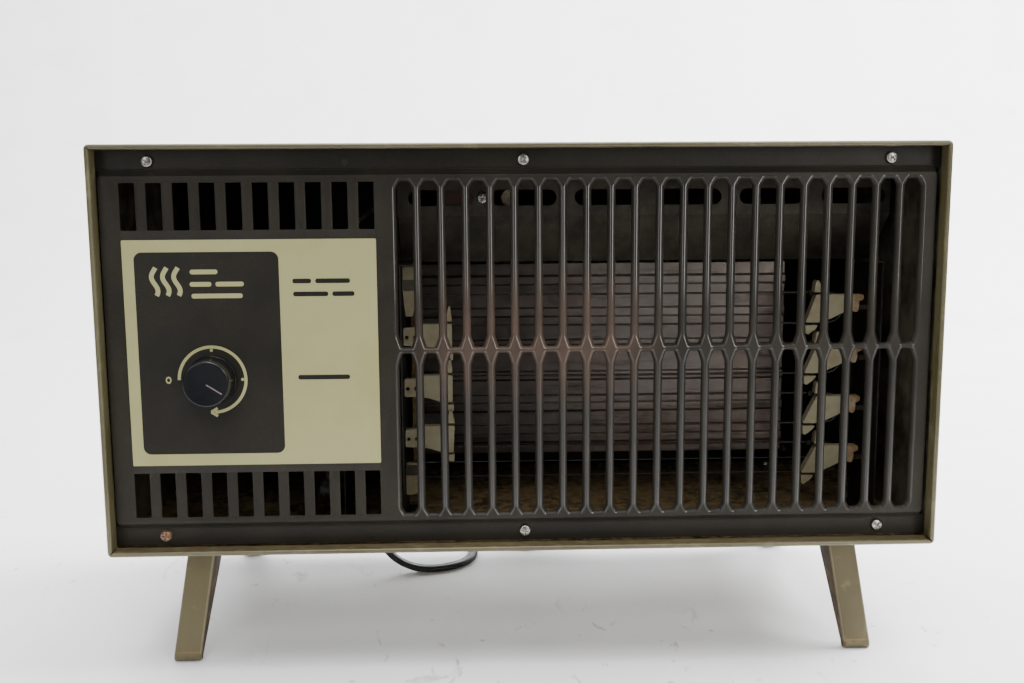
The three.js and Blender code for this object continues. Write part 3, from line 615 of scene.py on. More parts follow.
def coil_points():
    """Six and a quarter turns, clockwise from above: out and in on the floor, in and out on that, and
    again in and out on top. The plan holds turns made, radius and layer."""
    near, far = COIL_R - TURN_GAP / 2, COIL_R + TURN_GAP / 2
    plan = [(0.00, far, 0), (0.93, far, 0), (1.10, near, 0), (1.93, near, 0), (2.08, near, 1),
            (2.93, near, 1), (3.10, far, 1), (3.90, far, 1), (4.04, far, 2), (4.20, near, 2),
            (5.05, near, 2), (5.22, far, 2), (6.12, far, 2), (6.25, far, 1.6)]
    made, radii, layers = zip(*plan)
    turns = np.linspace(0.0, made[-1], 6 * 40 + 11)
    points = []
    for t, r, k in zip(turns, np.interp(turns, made, radii), np.interp(turns, made, layers)):
        angle = math.pi - 2 * math.pi * t
        points.append((COIL_X + r * math.cos(angle), COIL_D + r * math.sin(angle), LYING + k * LAYER))
    return points


def cord_line():
    start = [(x, BOOT_D, z) for x, z in DROP] + [(x, d, LYING) for x, d in ALONG]
    tail = [(x, COIL_D + d, z) for x, d, z in TAIL]
    return [(x, LIP + d, z) for x, d, z in start + coil_points()[1:-1] + tail]


def resampled(points, step):
    """A Catmull-Rom curve through the points, sampled about `step` apart."""
    points = [Vector(p) for p in points]
    ends = [points[0] * 2 - points[1], *points, points[-1] * 2 - points[-2]]
    dense = []
    for a, b, c, d in zip(ends, ends[1:], ends[2:], ends[3:]):
        for t in (k / 8 for k in range(8)):
            dense.append(0.5 * (2 * b + (c - a) * t + (2 * a - 5 * b + 4 * c - d) * t * t
                                + (3 * b - a - 3 * c + d) * t ** 3))
    line = np.array([tuple(p) for p in [*dense, points[-1]]])
    along = np.concatenate([[0], np.cumsum(np.linalg.norm(np.diff(line, axis=0), axis=1))])
    stops = np.linspace(0, along[-1], int(along[-1] / step) + 1)
    return np.stack([np.interp(stops, along, line[:, k]) for k in range(3)], axis=1)


def swept(line, section, wide):
    """Rings of a section along a line. Its wide axis starts at `wide` and twists towards lying flat
    once the line runs along the floor."""
    tangents = np.gradient(line, axis=0)
    tangents /= np.linalg.norm(tangents, axis=1)[:, None]
    rows, wide = [], np.array(wide, float)
    for point, tangent in zip(line, tangents):
        flat = np.cross(tangent, (0, 0, 1.0))
        if abs(tangent[2]) < 0.9:
            flat /= np.linalg.norm(flat)
            flat *= 1 if flat @ wide > 0 else -1
            wide = (1 - UNTWIST) * wide + UNTWIST * flat
        wide = wide - (wide @ tangent) * tangent
        wide /= np.linalg.norm(wide)
        thin = np.cross(tangent, wide)
        rows.append([tuple(point + a * wide + b * thin) for a, b in section])
    return rows


def power_cord():
    """The cord along its route: two round cores side by side, with a shallow groove between them."""
    line = resampled(cord_line(), CORD_STEP)
    for _ in range(SMOOTHINGS):
        line[1:-1] = (line[:-2] + 2 * line[1:-1] + line[2:]) / 4
    radius = CORD_THICK / 2
    core = arc(CORD_WIDE / 2 - radius, 0, radius, -118, 118, 10)
    shape = Shape()
    shape.grid(swept(line, core + [(-a, -b) for a, b in core], (0.0, 1.0, 0.0)), caps=True)
    piece = shape.build("power_cord_jacket", [JACKET], "cord_jacket",
                        ["power_cord", "cord_coil", "cord_tail"], sharp=60, place=lambda *p: p)
    return piece, [tuple(p) for p in line]


def tie_wrap():
    """A paper-covered wire tie round the coil's turns."""
    x, y = COIL_X / MM, (COIL_D - COIL_R) / MM
    half, top = 9.6, 3 * LAYER / MM + 1.1
    ring = rounded_rect(y - half, y + half, 0.35, top, 3.0, 4)
    rows = []
    for i, (d, z) in enumerate(ring):
        along = np.subtract(ring[(i + 1) % len(ring)], ring[i - 1])
        out_d, out_z = np.array([along[1], -along[0]]) / np.linalg.norm(along)
        rows.append([(x + a, d + out_d * b, z + out_z * b - LEG)
                     for a, b in ((-1.9, -0.18), (1.9, -0.18), (1.9, 0.18), (-1.9, 0.18))])
    shape = Shape()
    shape.grid(rows, loop=True)
    return shape.build("cord_tie", [FITTING], "cord_fitting_plastic")


def plug_piece():
    """A moulded two-pin plug lying flat, with a ribbed neck and a finger grip."""
    x0, d, mid = PLUG_X / MM, (COIL_D + COIL_R) / MM, PLUG_Z / MM - LEG
    shape = Shape()

    def ring(along, wide, thick, power=3.2, count=28):
        points = []
        for c, s in circle(0, 0, 1, count):
            k = (abs(c) ** power + abs(s) ** power) ** (-1 / power)
            points.append((x0 + along, d + wide * c * k, mid + thick * s * k))
        return points

    rows = [ring(0, 3.9, 3.0, 2.4)]
    for i in range(5):
        grow = i * 0.33
        for along, wide, thick, share in ((0, 4.1, 3.3, 0.6), (1.6, 4.1, 3.3, 0.6), (1.9, 3.6, 2.9, 0.5),
                                          (2.6, 3.6, 2.9, 0.5)):
            rows.append(ring(1.2 + i * 2.9 + along, wide + grow, thick + grow * share, 2.6))
    rows += [ring(*r) for r in ((16, 7.4, 5.1), (18, 9.6, 5.5), (21, 11.2, 5.6), (25, 11.0, 5.2),
                                (29, 11.4, 5.3), (32, 12.4, 5.6), (35.2, 12.6, 5.6), (36, 12.0, 5.0))]
    shape.grid(rows, caps=True)
    for y in (d - PIN_GAP / MM / 2, d + PIN_GAP / MM / 2):
        shape.block(x0 + 35, x0 + 52.2, y - 0.8, y + 0.8, mid - 3.2, mid + 3.2, kind=1)
        shape.slab(arc(x0 + 52.2, mid, 3.2, -90, 90, 8), y - 0.62, y + 0.62, kind=1)
    return shape.build("plug_body", [FITTING, BRASS], "cord_fitting_plastic", ["cord_plug"], sharp=50)


cord_piece, cord_path = power_cord()
tie = tie_wrap()
plug = plug_piece()


def strain_relief():
    """The ribbed boot that holds the cord in the case floor."""
    x, d, _ = middle("strain_relief")
    h0, h1 = mm_box("strain_relief")[2]
    profile = [(0.5, h0), (4.3, h0), (4.7, h0 + 0.6)]
    for i in range(5):
        h, r = h0 + 1.6 + i * 3.1, 4.7 + i * 0.24
        profile += [(r, h), (r + 0.1, h + 1.9), (r - 0.6, h + 2.2), (r - 0.6, h + 2.9)]
    profile += [(6.4, -4.4), (7.3, -3.2), (7.6, -2.6), (7.6, -0.5), (7.3, -0.3), (5.2, -0.3), (5.2, 1.5),
                (7.1, 1.5), (7.4, 1.8), (7.4, h1 - 0.3), (7.0, h1), (0.5, h1)]
    shape = Shape()
    shape.grid([[(a, b, h) for a, b in circle(x, d, r, 40)] for r, h in profile], caps=True)
    shape.build("strain_relief_boot", [FITTING], "cord_fitting_plastic", ["strain_relief"])


strain_relief()

# ---- case ----

HEM, HEM_DEPTH, REAR_HEM, WALL = 2.7, 9.0, 4.0, 1.2
CORNER = 2.6
CORD_HOLE = 5.6


def case_loop(inset, d):
    half, corner = HALF_W - inset, max(CORNER - inset, 0.45)
    return deep(rounded_rect(-half, half, inset, CASE_H - inset, corner), d)


def case_piece():
    """The wrapped sheet: thin walls with a rolled hem at the front and a flat one at the back. Its front
    corners are mitred, and its floor has the cord's hole."""
    back = CASE_D - REAR_HEM
    profile = arc(HEM / 2, HEM / 2, HEM / 2, 180, 360, 10)
    profile += [(HEM, HEM_DEPTH - 0.3), (HEM - 0.3, HEM_DEPTH), (WALL, HEM_DEPTH + 0.1), (WALL, back - 0.1),
                (HEM - 0.3, back), (HEM, back + 0.3), (HEM, CASE_D - 0.6), (HEM - 0.6, CASE_D),
                (0.6, CASE_D), (0.0, CASE_D - 0.6)]
    shape = Shape()
    rows = [case_loop(a, d) for a, d in profile]
    shape.grid(rows, loop=True)
    around = len(rows[0])
    for j, (a, d) in enumerate(profile):
        if a == WALL or HEM_DEPTH < d < back + 0.1:
            shape.kinds[j * around:(j + 1) * around] = [1] * around
    piece = shape.build("case_shell", [PAINT, INSIDE], "case_paint", ["case_wrapper"], sharp=40)
    cutters = Shape()
    for side in (-1, 1):
        for top, wide, tail in ((False, 0.5, 0.08), (True, 0.24, 0.1)):
            (cx, ch), (ox, oh) = ((side * (HALF_W - inset), CASE_H - inset if top else inset)
                                  for inset in (HEM + 0.4, 1.15))
            length = math.hypot(ox - cx, oh - ch)
            nx, nh = (oh - ch) / length, (cx - ox) / length
            outline = [(cx + nx * wide, ch + nh * wide), (cx - nx * wide, ch - nh * wide),
                       (ox - nx * tail, oh - nh * tail), (ox + nx * tail, oh + nh * tail)]
            cutters.slab(outline, -2.0, 7.5)
    hole = circle(CORD_EXIT[0] / MM, (CORD_EXIT[1] - LIP) / MM, CORD_HOLE, 32)
    cutters.grid([[(x, d, h) for x, d in hole] for h in (-2, 3)], caps=True)
    cut_out(piece, cutters, 40)


def cut_out(piece, shape, sharp):
    """Subtracts a shape from a piece and keeps its shading."""
    cutter = add_object("cutter", solid("cutter", [at(*p) for p in shape.points], shape.faces))
    boolean = piece.modifiers.new("cut", "BOOLEAN")
    boolean.object, boolean.operation, boolean.solver = cutter, "DIFFERENCE", "EXACT"
    graph = bpy.context.evaluated_depsgraph_get()
    result = bpy.data.meshes.new_from_object(piece.evaluated_get(graph))
    piece.modifiers.remove(boolean)
    bpy.data.objects.remove(cutter)
    piece.data = result
    with editing(result) as work:
        soften(work, sharp)


case_piece()

# ---- front panel ----

SHEET = 1.0
FACE_D, FACE_X0, FACE_X1, FACE_HALF_H = 7.9, -225.3, 224.0, 95.2
FACE_ROUND, FACE_CORNER = 0.9, 2.2
STRIP_D, STRIP_HALF, STEP = 11.85, 227.1, 2.6
VENT = {"x": -214.1, "pitch": 14.0, "width": 8.2, "height": 25.0, "count": 10, "offset": 78.7}
GRILLE = {"x": -68.2, "pitch": 13.1, "slot": 8.6, "count": 22, "half": 91.3, "band": 3.4}
VENT_EDGE = 0.25
ROLL, ROLL_DEPTH, ROLL_WEB, ROLL_END = 2.12, 2.5, 1.55, 1.9
ROLL_INSIDE = 0.58  # how much of the roll's width the back of its sheet takes
FLARE, FLARE_WEB, FLARE_END = 2.0, 6.0, 3.4
GLOSSY, MATT = 1, 2
DIAL = middle("thermostat_knob")[::2]
DIAL_HOLE, SCREW_HOLE = 5.2, 2.2
SPARE_HOLE = (-95.2, 212.9)
TOOLING_HOLES = ((-85.6, 4.9), (-74.6, 4.9))


def slot_outlines():
    """For each grille slot, its edge and the line where its rolled edge starts, both counter-clockwise."""
    s = GRILLE["slot"]
    for i in range(GRILLE["count"]):
        x = GRILLE["x"] + i * GRILLE["pitch"]
        for h0, h1, low, high, under, over in (
            (MID + GRILLE["band"] / 2, MID + GRILLE["half"], FLARE_WEB, FLARE_END, ROLL_WEB, ROLL_END),
            (MID - GRILLE["half"], MID - GRILLE["band"] / 2, FLARE_END, FLARE_WEB, ROLL_END, ROLL_WEB),
        ):
            corners = [(x + FLARE, h0), (x + s - FLARE, h0), (x + s, h0 + low), (x + s, h1 - high),
                       (x + s - FLARE, h1), (x + FLARE, h1), (x, h1 - high), (x, h0 + low)]
            by = [under, ROLL, ROLL, ROLL, over, ROLL, ROLL, ROLL]
            yield rounded(corners, 1.1), rounded(offset_outline(corners, by), 1.1)


def between(inner, outer, t):
    return [(a[0] + (b[0] - a[0]) * t, a[1] + (b[1] - a[1]) * t) for a, b in zip(inner, outer)]


def vent_outlines():
    for row in (1, -1):
        h = MID + row * VENT["offset"]
        for i in range(VENT["count"]):
            x = VENT["x"] + i * VENT["pitch"]
            yield x, x + VENT["width"], h - VENT["height"] / 2, h + VENT["height"] / 2


def face_edge(grow, corner):
    half = FACE_HALF_H + grow
    return rounded_rect(FACE_X0 - grow, FACE_X1 + grow, MID - half, MID + half, corner + grow, 6)


def front_panel():
    """One stamping: a raised face with vents and a grille, and screw strips above and below it."""
    shape = Shape()
    front_holes, back_holes = [], []
    inside_d = FACE_D + SHEET
    for inner, outer in slot_outlines():
        front_holes.append(between(outer, inner, -0.03))
        rows = [deep(front_holes[-1], FACE_D)]
        for t in angles(0, 90, 8):
            rows.append(deep(between(outer, inner, math.sin(t)), FACE_D + ROLL_DEPTH * (1 - math.cos(t))))
        first = len(shape.kinds)
        shape.grid(rows[:4], GLOSSY)
        for k in range(first, len(shape.kinds)):
            i = (k - first) % len(inner)
            (xa, ha), (xb, hb) = inner[i], inner[(i + 1) % len(inner)]
            if abs(hb - ha) < 0.3 * abs(xb - xa):
                shape.kinds[k] = MATT
        rows = [*rows[3:], deep(inner, FACE_D + ROLL_DEPTH + 0.5)]
        for t in angles(90, 0, 4):
            d = inside_d + (ROLL_DEPTH - SHEET + 0.5) * (1 - math.cos(t))
            rows.append(deep(between(outer, inner, math.sin(t) * ROLL_INSIDE), d))
        back_holes.append(between(outer, inner, 0.0))
        shape.grid(rows, MATT)
    for x0, x1, h0, h1 in vent_outlines():
        front = rounded_rect(x0 - VENT_EDGE, x1 + VENT_EDGE, h0 - VENT_EDGE, h1 + VENT_EDGE, 0.6, 3)
        edge = rounded_rect(x0, x1, h0, h1, 0.4, 3)
        front_holes.append(front)
        back_holes.append(edge)
        shape.grid([deep(front, FACE_D), deep(between(front, edge, 0.7), FACE_D + 0.08),
                    deep(edge, FACE_D + 0.3), deep(edge, inside_d)])

    dial = circle(*DIAL, DIAL_HOLE, 40)
    shape.grid([deep(dial, d) for d in (FACE_D, inside_d)])
    rear = face_edge(-SHEET, 1.6)
    shape.sheet(face_edge(-FACE_ROUND, FACE_CORNER), [*front_holes, dial], FACE_D)
    shape.sheet(rear, [*back_holes, dial], inside_d)

    def draft(d, share):
        grow = 1 + share * STEP / FACE_HALF_H
        return [(x, d, MID + (h - MID) * grow) for x, h in face_edge(0.0, FACE_CORNER)]

    rows = []
    for t in angles(0, 75, 5):
        edge = face_edge(FACE_ROUND * (math.sin(t) - 1), FACE_CORNER)
        rows.append(deep(edge, FACE_D + FACE_ROUND * (1 - math.cos(t))))
    rows.append(draft(FACE_D + 1.4, 0.22))
    rows += [draft(STRIP_D + d, share) for d, share in (
        (-0.9, 0.90), (-1.1, 1.02), (-0.95, 1.14), (-0.5, 1.22), (0.02, 1.25), (SHEET, 1.25))]
    rim = draft(STRIP_D + SHEET, 1.0)
    rows += [[(x * 0.9955, d, MID + (h - MID) * 0.989) for x, d, h in rim], deep(rear, inside_d)]
    shape.grid(rows, MATT)
    low, high = MID - FACE_HALF_H, MID + FACE_HALF_H
    screws = [middle(f"front_screw_{i + 1}") for i in range(6)]
    for top, h0, h1, others in (
        (True, high + STEP - 0.6, high + 13.2, [circle(*SPARE_HOLE, 1.9, 20)]),
        (False, low - 13.0, low - STEP + 0.6, [circle(*hole, 0.9, 16) for hole in TOOLING_HOLES]),
    ):
        holes = [circle(x, h, SCREW_HOLE, 24) for x, _, h in screws if (h > MID) == top]
        shape.slab(rounded_rect(-STRIP_HALF, STRIP_HALF, h0, h1, 0.8, 3), STRIP_D, STRIP_D + SHEET,
                   holes + others)
    for x0 in (FACE_X0 + 0.05, FACE_X1 - 1.05):
        shape.block(x0, x0 + SHEET, FACE_D + 1.2, 20.0, low + 2, high - 2)
    shape.build("front_panel_stamping", [PANEL, PANEL_EDGE, PANEL_DULL], "panel_paint",
                ["front_panel"], sharp=38)


def hole_plug():
    """A push-in plug in the spare hole of the top strip."""
    shape = Shape()
    profile = [(0, 0.1), (1.2, -0.05), (1.75, 0.05), (1.8, 0.6), (1.85, 2), (0, 2)]
    shape.turned([(r, STRIP_D + d) for r, d in profile], *SPARE_HOLE, 24)
    shape.build("spare_hole_plug", [SOOTY], "inner_steel")


front_panel()
hole_plug()

# ---- control label ----


def stroke(points, width):
    """The outline of a line of even width."""
    pts = [np.array(p, float) for p in points]
    left, right = [], []
    for i, p in enumerate(pts):
        along = pts[min(i + 1, len(pts) - 1)] - pts[max(i - 1, 0)]
        along /= np.linalg.norm(along)
        n = np.array([-along[1], along[0]]) * width / 2
        left.append(tuple(p + n))
        right.append(tuple(p - n))
    return right + left[::-1]


def polar(radius, degrees):
    """A point at a radius and an angle from the dial's middle."""
    t = math.radians(degrees)
    return DIAL[0] + radius * math.cos(t), DIAL[1] + radius * math.sin(t)


PALE, BROWN, BLACK = 0, 1, 2
FIELD = (-207.9, -131.3, 55.8, 165.8)
RING, RING_HALF = 17.9, 0.82
BAR = 2.5
BARS = (
    (155.2, PALE, (-178.6, -163.9)), (148.6, PALE, (-178.9, -167.4), (-165.2, -150.2)),
    (142.3, PALE, (-178.2, -151.0)), (149.9, BLACK, (-124.3, -114.3), (-112.1, -93.5)),
    (142.9, BLACK, (-124.1, -105.3), (-103.2, -91.3)), (97.6, BLACK, (-122.9, -94.9)),
)


def control_label():
    """The printed plate. Its marks are plain shapes: bars stand where words were, and waves for heat."""
    (x0, x1), (front, back), (h0, h1) = mm_box("control_label")
    cx, ch = DIAL
    shape = Shape()
    hole = circle(cx, ch, 6.0, 48)
    outline = rounded_rect(x0, x1, h0, h1, 0.7, 4)
    rim = rounded_rect(x0 + 0.12, x1 - 0.12, h0 + 0.12, h1 - 0.12, 0.6, 4)
    shape.slab(outline, front + 0.08, back, [hole])
    shape.grid([deep(outline, front + 0.08), deep(rim, front + 0.01)])
    shape.sheet(rim, [hole], front + 0.01)

    def printed(outline, level, ink=PALE, holes=()):
        shape.slab(outline, front + 0.01 - 0.025 * level, front + 0.05, holes, ink)

    printed(rounded_rect(*FIELD, 4.2, 8), 1, BROWN, [hole])
    printed(arc(cx, ch, RING + RING_HALF, -88, 180, 60) + arc(cx, ch, RING - RING_HALF, 180, -88, 60), 2)
    tip = (cx - 1.5, ch - RING)
    for degrees, level in ((33, 2.1), (-31, 2.2)):
        t = math.radians(degrees)
        printed(stroke([tip, (tip[0] + 4.1 * math.cos(t), tip[1] + 4.1 * math.sin(t))], 1.5), level)
    for degrees in (90, 0):
        printed(circle(*polar(16.1, degrees), 0.85, 16), 2.3)
    zero = [[(x, ch + (h - ch) * 1.25) for x, h in circle(-192.6, ch, r, 28)] for r in (1.55, 0.85)]
    printed(zero[0], 2, holes=[zero[1]])
    for i in range(3):
        x = -197.4 + i * 5.9
        turns = np.linspace(0, 1, 25)
        wave = [(x + 1.6 * math.sin(t * 2 * math.pi + 0.5), 142.6 + 15.0 * t) for t in turns]
        printed(rounded(stroke(wave, 2.5), 0.12, 2), 2)
    for h, ink, *words in BARS:
        for a, b in words:
            bar = rounded_rect(a, b, h - BAR / 2, h + BAR / 2, BAR * 0.45, 4)
            printed(bar, 2 if ink == PALE else 1, ink)
    shape.build("control_label_plate", [CREAM, DARK, INK], "label_ink", ["control_label"], sharp=15,
                weld=1e-6)


control_label()

# ---- thermostat ----

POINTER_ANGLE = -32.6


def knob():
    front, back = mm_box("thermostat_knob")[1]
    profile = [(0, front + 0.25), (10.6, front + 0.1), (11.3, front + 0.06)]
    profile += [(11.5 + 0.75 * math.sin(t), front + 0.06 + 0.75 * (1 - math.cos(t)))
                for t in angles(15, 90, 5)]
    profile += [(12.55, 0), (12.65, 4.4), (12.8, 5.1), (13.25, 5.6), (13.4, 6.1), (13.4, back), (9.6, back),
                (9.6, 3.2), (3.3, 3.2), (3.3, -5), (0, -5)]
    shape = Shape()
    shape.turned(profile, *DIAL, 96)
    line = [polar(r, POINTER_ANGLE) for r in (0.4, 9.9)]
    shape.slab(stroke(line, 0.62), front, front + 0.5, kind=1)
    shape.build("thermostat_knob_moulding", [KNOB, POINTER], "knob_plastic", ["thermostat_knob"],
                "thermostat_dial", sharp=50)


knob()

# ---- screws ----

SCREW_R, SCREW_HEAD, SCREW_LENGTH = 3.4, 2.3, 5.0


def clamped(value):
    return min(1.0, max(0.0, value))


def screw_mesh(name, material):
    """A pan head with a cross recess, its seat at the origin and its head towards -Y, in metres."""
    rings, around = 26, 64
    rows = []
    for share in ((j / rings) ** 0.85 for j in range(rings + 1)):
        row = []
        for x, z in circle(0, 0, SCREW_R * share, around):
            low, high = sorted((abs(x), abs(z)))
            arm = clamped((0.52 - 0.10 * high - low) / 0.16) * clamped((2.15 - high) / 0.35)
            top = SCREW_HEAD * (1 - 0.22 * share ** 2 - 0.78 * share ** 14)
            row.append((x, arm * (0.85 + 0.5 * max(0.0, 1 - high / 1.1)) - top, z))
        rows.append(row)
    for r, y in ((SCREW_R, 0.0), (1.7, 0.0), (1.7, SCREW_LENGTH)):
        rows.append([(x, y, z) for x, z in circle(0, 0, r, around)])
    shape = Shape()
    shape.grid(rows)
    shape.add(rows[-1], [range(around)])
    mesh = solid(name, [tuple(c * MM for c in p) for p in shape.points], shape.faces, [material], weld=1e-7)
    with editing(mesh) as work:
        soften(work, 40)
    return mesh


def place_screw(node, mesh, direction, turn):
    """Sets a screw where its CAD node is. `direction` is where the head points."""
    x, d, h = middle(node)
    (_, _), (d0, d1), (_, h1) = mm_box(node)
    seat, facing = {
        "front": ((x, d0 + SCREW_HEAD, h), Matrix.Identity(4)),
        "back": ((x, d1 - SCREW_HEAD, h), Matrix.Rotation(math.pi, 4, "Z")),
        "up": ((x, d, h1 - SCREW_HEAD), Matrix.Rotation(-math.pi / 2, 4, "X")),
    }[direction]
    piece = add_object(f"{node}_head", mesh)
    spin = Matrix.Rotation(math.radians(turn), 4, "Y")
    piece.matrix_world = Matrix.Translation(at(*seat)) @ facing @ spin
    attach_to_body(piece, "cabinet")
    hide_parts(node)


bright = screw_mesh("pan_screw", ZINC)
rusted = screw_mesh("pan_screw_rusted", RUSTED)
turns = random.Random(7)
for i in range(6):
    place_screw(f"front_screw_{i + 1}", rusted if i == 1 else bright, "front", turns.uniform(0, 90))
for i in range(4):
    place_screw(f"back_screw_{i + 1}", bright, "back", turns.uniform(0, 90))
LEGS = [(end, side) for end in ("front", "rear") for side in ("left", "right")]
for end, side in LEGS:
    place_screw(f"leg_screw_{end}_{side}", bright, "up", turns.uniform(0, 90))
place_screw("limit_switch_screw", bright, "front", 20)

# ---- legs ----

LEG_W, LEG_T, LEG_BEND = 15.4, 1.2, 1.9
LEG_TOP = LEG - 0.3
SPLAY, RAKE = 9.6 / LEG, 8.5 / LEG
FLANGE_FOOT, FLANGE_TOP, FLANGE_LEAST = 6.5, 23.0, 2.2
FOOT_ROUND = 4.2
LEVELS = [0.0, 0.25, 0.7, 1.3, 2.0, 2.8, 3.6, 4.2, 4.6, 12, 24, 36, 48, LEG_TOP - 6, LEG_TOP]


def leg_section(front, back):
    """A channel's outline in plan, x across and y to the back, starting at its left flange's end."""
    w, t, r = LEG_W / 2, LEG_T, LEG_BEND
    y = front + r
    outer = arc(r - w, y, r, 180, 270, 6) + arc(w - r, y, r, 270, 360, 6)
    inner = arc(w - r, y, r - t, 360, 270, 4) + arc(r - w, y, r - t, 270, 180, 4)
    return [(-w, back), *outer, (w, back), (w - t, back), *inner, (t - w, back)]


def leg(node, side, rear):
    (x0, x1), (d0, d1), _ = mm_box(node)
    foot_x = side * (max(abs(x0), abs(x1)) - LEG_W / 2)
    rows = []
    for z in LEVELS:
        front = 0.0
        if z < FOOT_ROUND:
            front = FOOT_ROUND - math.sqrt(FOOT_ROUND ** 2 - (FOOT_ROUND - z) ** 2)
        elif z < 4.4:
            front = -0.08
        share = (z - 3) / (LEG_TOP - 9)
        back = FLANGE_FOOT if z <= 3 else FLANGE_TOP
        if 3 < z < LEG_TOP - 6:
            back = FLANGE_FOOT + share * (FLANGE_TOP - FLANGE_FOOT)
        rows.append([(x, y, z) for x, y in leg_section(front, max(back, front + FLANGE_LEAST))])
    shape = Shape()
    shape.grid(rows, caps=True)
    around, walls = len(rows[0]), len(rows[0]) * (len(rows) - 1)
    outward = side * (-1 if rear else 1) > 0
    # Faces outside painted, the flange towards the middle and the channel's inside, take the dark primer,
    # partly painted shade.
    painted = range(1, 15) if outward else range(14)
    # The bend beside the inner flange takes the lighter paint as a painted highlight.
    highlit_bend = (3, 4) if outward else (10, 11)
    for i in range(len(shape.kinds)):
        if i < walls:
            shape.kinds[i] = 2 if i >= around * 8 and i % around in highlit_bend else int(i % around not in painted)
    w = LEG_W / 2 - 0.5
    webs = Shape()
    for y0, y1, z0, z1 in ((FOOT_ROUND, FLANGE_FOOT, 0, LEG_T),
                           (0.6, FLANGE_TOP, LEG_TOP - LEG_T, LEG_TOP - 0.02)):
        webs.slab([(-w, y0), (w, y0), (w, y1), (-w, y1)], z0, z1)
    shape.add([(x, y, z) for x, z, y in webs.points], webs.faces, 1)

    def settle(x, y, z):
        d = d1 - y - RAKE * z if rear else d0 + y + RAKE * z
        return foot_x + x - side * SPLAY * z, d, z - LEG

    shape.points = [settle(*p) for p in shape.points]
    shape.build(f"{node}_channel", [LEG_PAINT, GRIMY_AND_SHADED, BEND_HIGHLIGHT_PAINT], "case_paint", [node], sharp=38)


for end, side in LEGS:
    leg(f"leg_{end}_{side}", -1 if side == "left" else 1, end == "rear")

# ---- back panel ----

LOUVRES, LOUVRE_PITCH, LOUVRE_TALL, LOUVRE_ROUND = 8, 14, 7.4, 2.2
LOWEST, FAN_REACH, FAN_GAP = -52.6, 62, 3
CONTROL_LOUVRES = (-196, -142)


def back_panel():
    """The rear sheet, with rows of pressed louvres that are closed at their ends and open downwards."""
    (x0, x1), (d0, d1), (h0, h1) = mm_box("back_panel")
    fan_x, _, fan_h = middle("fan_blade")
    out = d0 + SHEET
    holes = []
    for i in range(4):
        x, _, h = middle(f"back_screw_{i + 1}")
        holes.append(circle(x, h, SCREW_HOLE, 24))
    steps = [LOUVRE_ROUND * (1 - math.cos(t)) for t in angles(0, 90, 4)]
    shape = Shape()
    for i in range(LOUVRES):
        low = fan_h + LOWEST + i * LOUVRE_PITCH
        for left, right in ((fan_x - FAN_REACH, fan_x - FAN_GAP), (fan_x + FAN_GAP, fan_x + FAN_REACH),
                            CONTROL_LOUVRES):
            holes.append(rounded_rect(left, right, low + 0.4, low + 6.2, 1.2, 3))
            left, right = left - 0.5, right + 0.5
            across = [left + e for e in steps] + [right - e for e in reversed(steps)]
            rows = []
            for share in np.linspace(0, 1, 8):
                bulge = (d1 - out) * math.sin(share * math.pi / 2)
                h = low + LOUVRE_TALL * (1 - share)
                outer, inner = [], []
                for x in across:
                    near = min(min(x - left, right - x) / LOUVRE_ROUND, 1.0)
                    lift = bulge * math.sqrt(1 - (1 - near) ** 2)
                    outer.append((x, out + lift - 0.02, h))
                    inner.append((x, out + max(lift - 0.7, -0.5), h - 0.2 * (1 - share)))
                rows.append(outer + inner[::-1])
            shape.grid(rows, caps=True)
    shape.slab(rounded_rect(x0 - 1.7, x1 + 1.7, h0 - 1.6, h1 + 1.6, 1.5, 4), d0, out, holes)
    shape.build("back_panel_louvred", [BACK], "panel_paint", ["back_panel"], sharp=38)


back_panel()

# ---- inside ----

for node, material, width, slot in (
    ("chamber_partition", INNER, 0.2, "inner_steel"),
    ("upper_baffle", INNER, 0.25, "inner_steel"),
    ("reflector", REFLECT, 0.3, "reflector_steel"),
    ("element_bracket_left", SOOTY, 0.2, "inner_steel"),
    ("element_bracket_right", SOOTY, 0.2, "inner_steel"),
    ("heating_ribbon", RIBBON, 0.15, "element_ribbon"),
    ("thermostat_body", BAKELITE, 0.5, "switch_bakelite"),
    ("thermostat_nut", ZINC, 0.3, "zinc_hardware"),
    ("limit_switch", BAKELITE, 0.4, "switch_bakelite"),
    ("wire_joint", SLEEVE, 0.8, "lead_sleeve"),
    ("tip_switch_frame", INNER, 0.2, "inner_steel"),
    ("motor_stator", LAMINATIONS, 0.4, "inner_steel"),
    ("motor_coil", COPPER, 2.0, "motor_winding"),
    ("motor_front_bridge", ALUMINIUM, 0.5, "motor_aluminium"),
    ("motor_rear_bridge", ALUMINIUM, 0.5, "motor_aluminium"),
    ("motor_strap", INNER, 0.3, "inner_steel"),
    ("lead_thermostat", SLEEVE, 0.0, "lead_sleeve"),
    ("lead_limit", SLEEVE, 0.0, "lead_sleeve"),
):
    refined(node, material, width, slot)


def clay(node, shape, second):
    """An insulator's piece, with softened edges."""
    piece = shape.build(f"{node}_clay", [CERAMIC, second], "insulator_ceramic", [node], sharp=30)
    round_edges(piece, 0.35, 40)


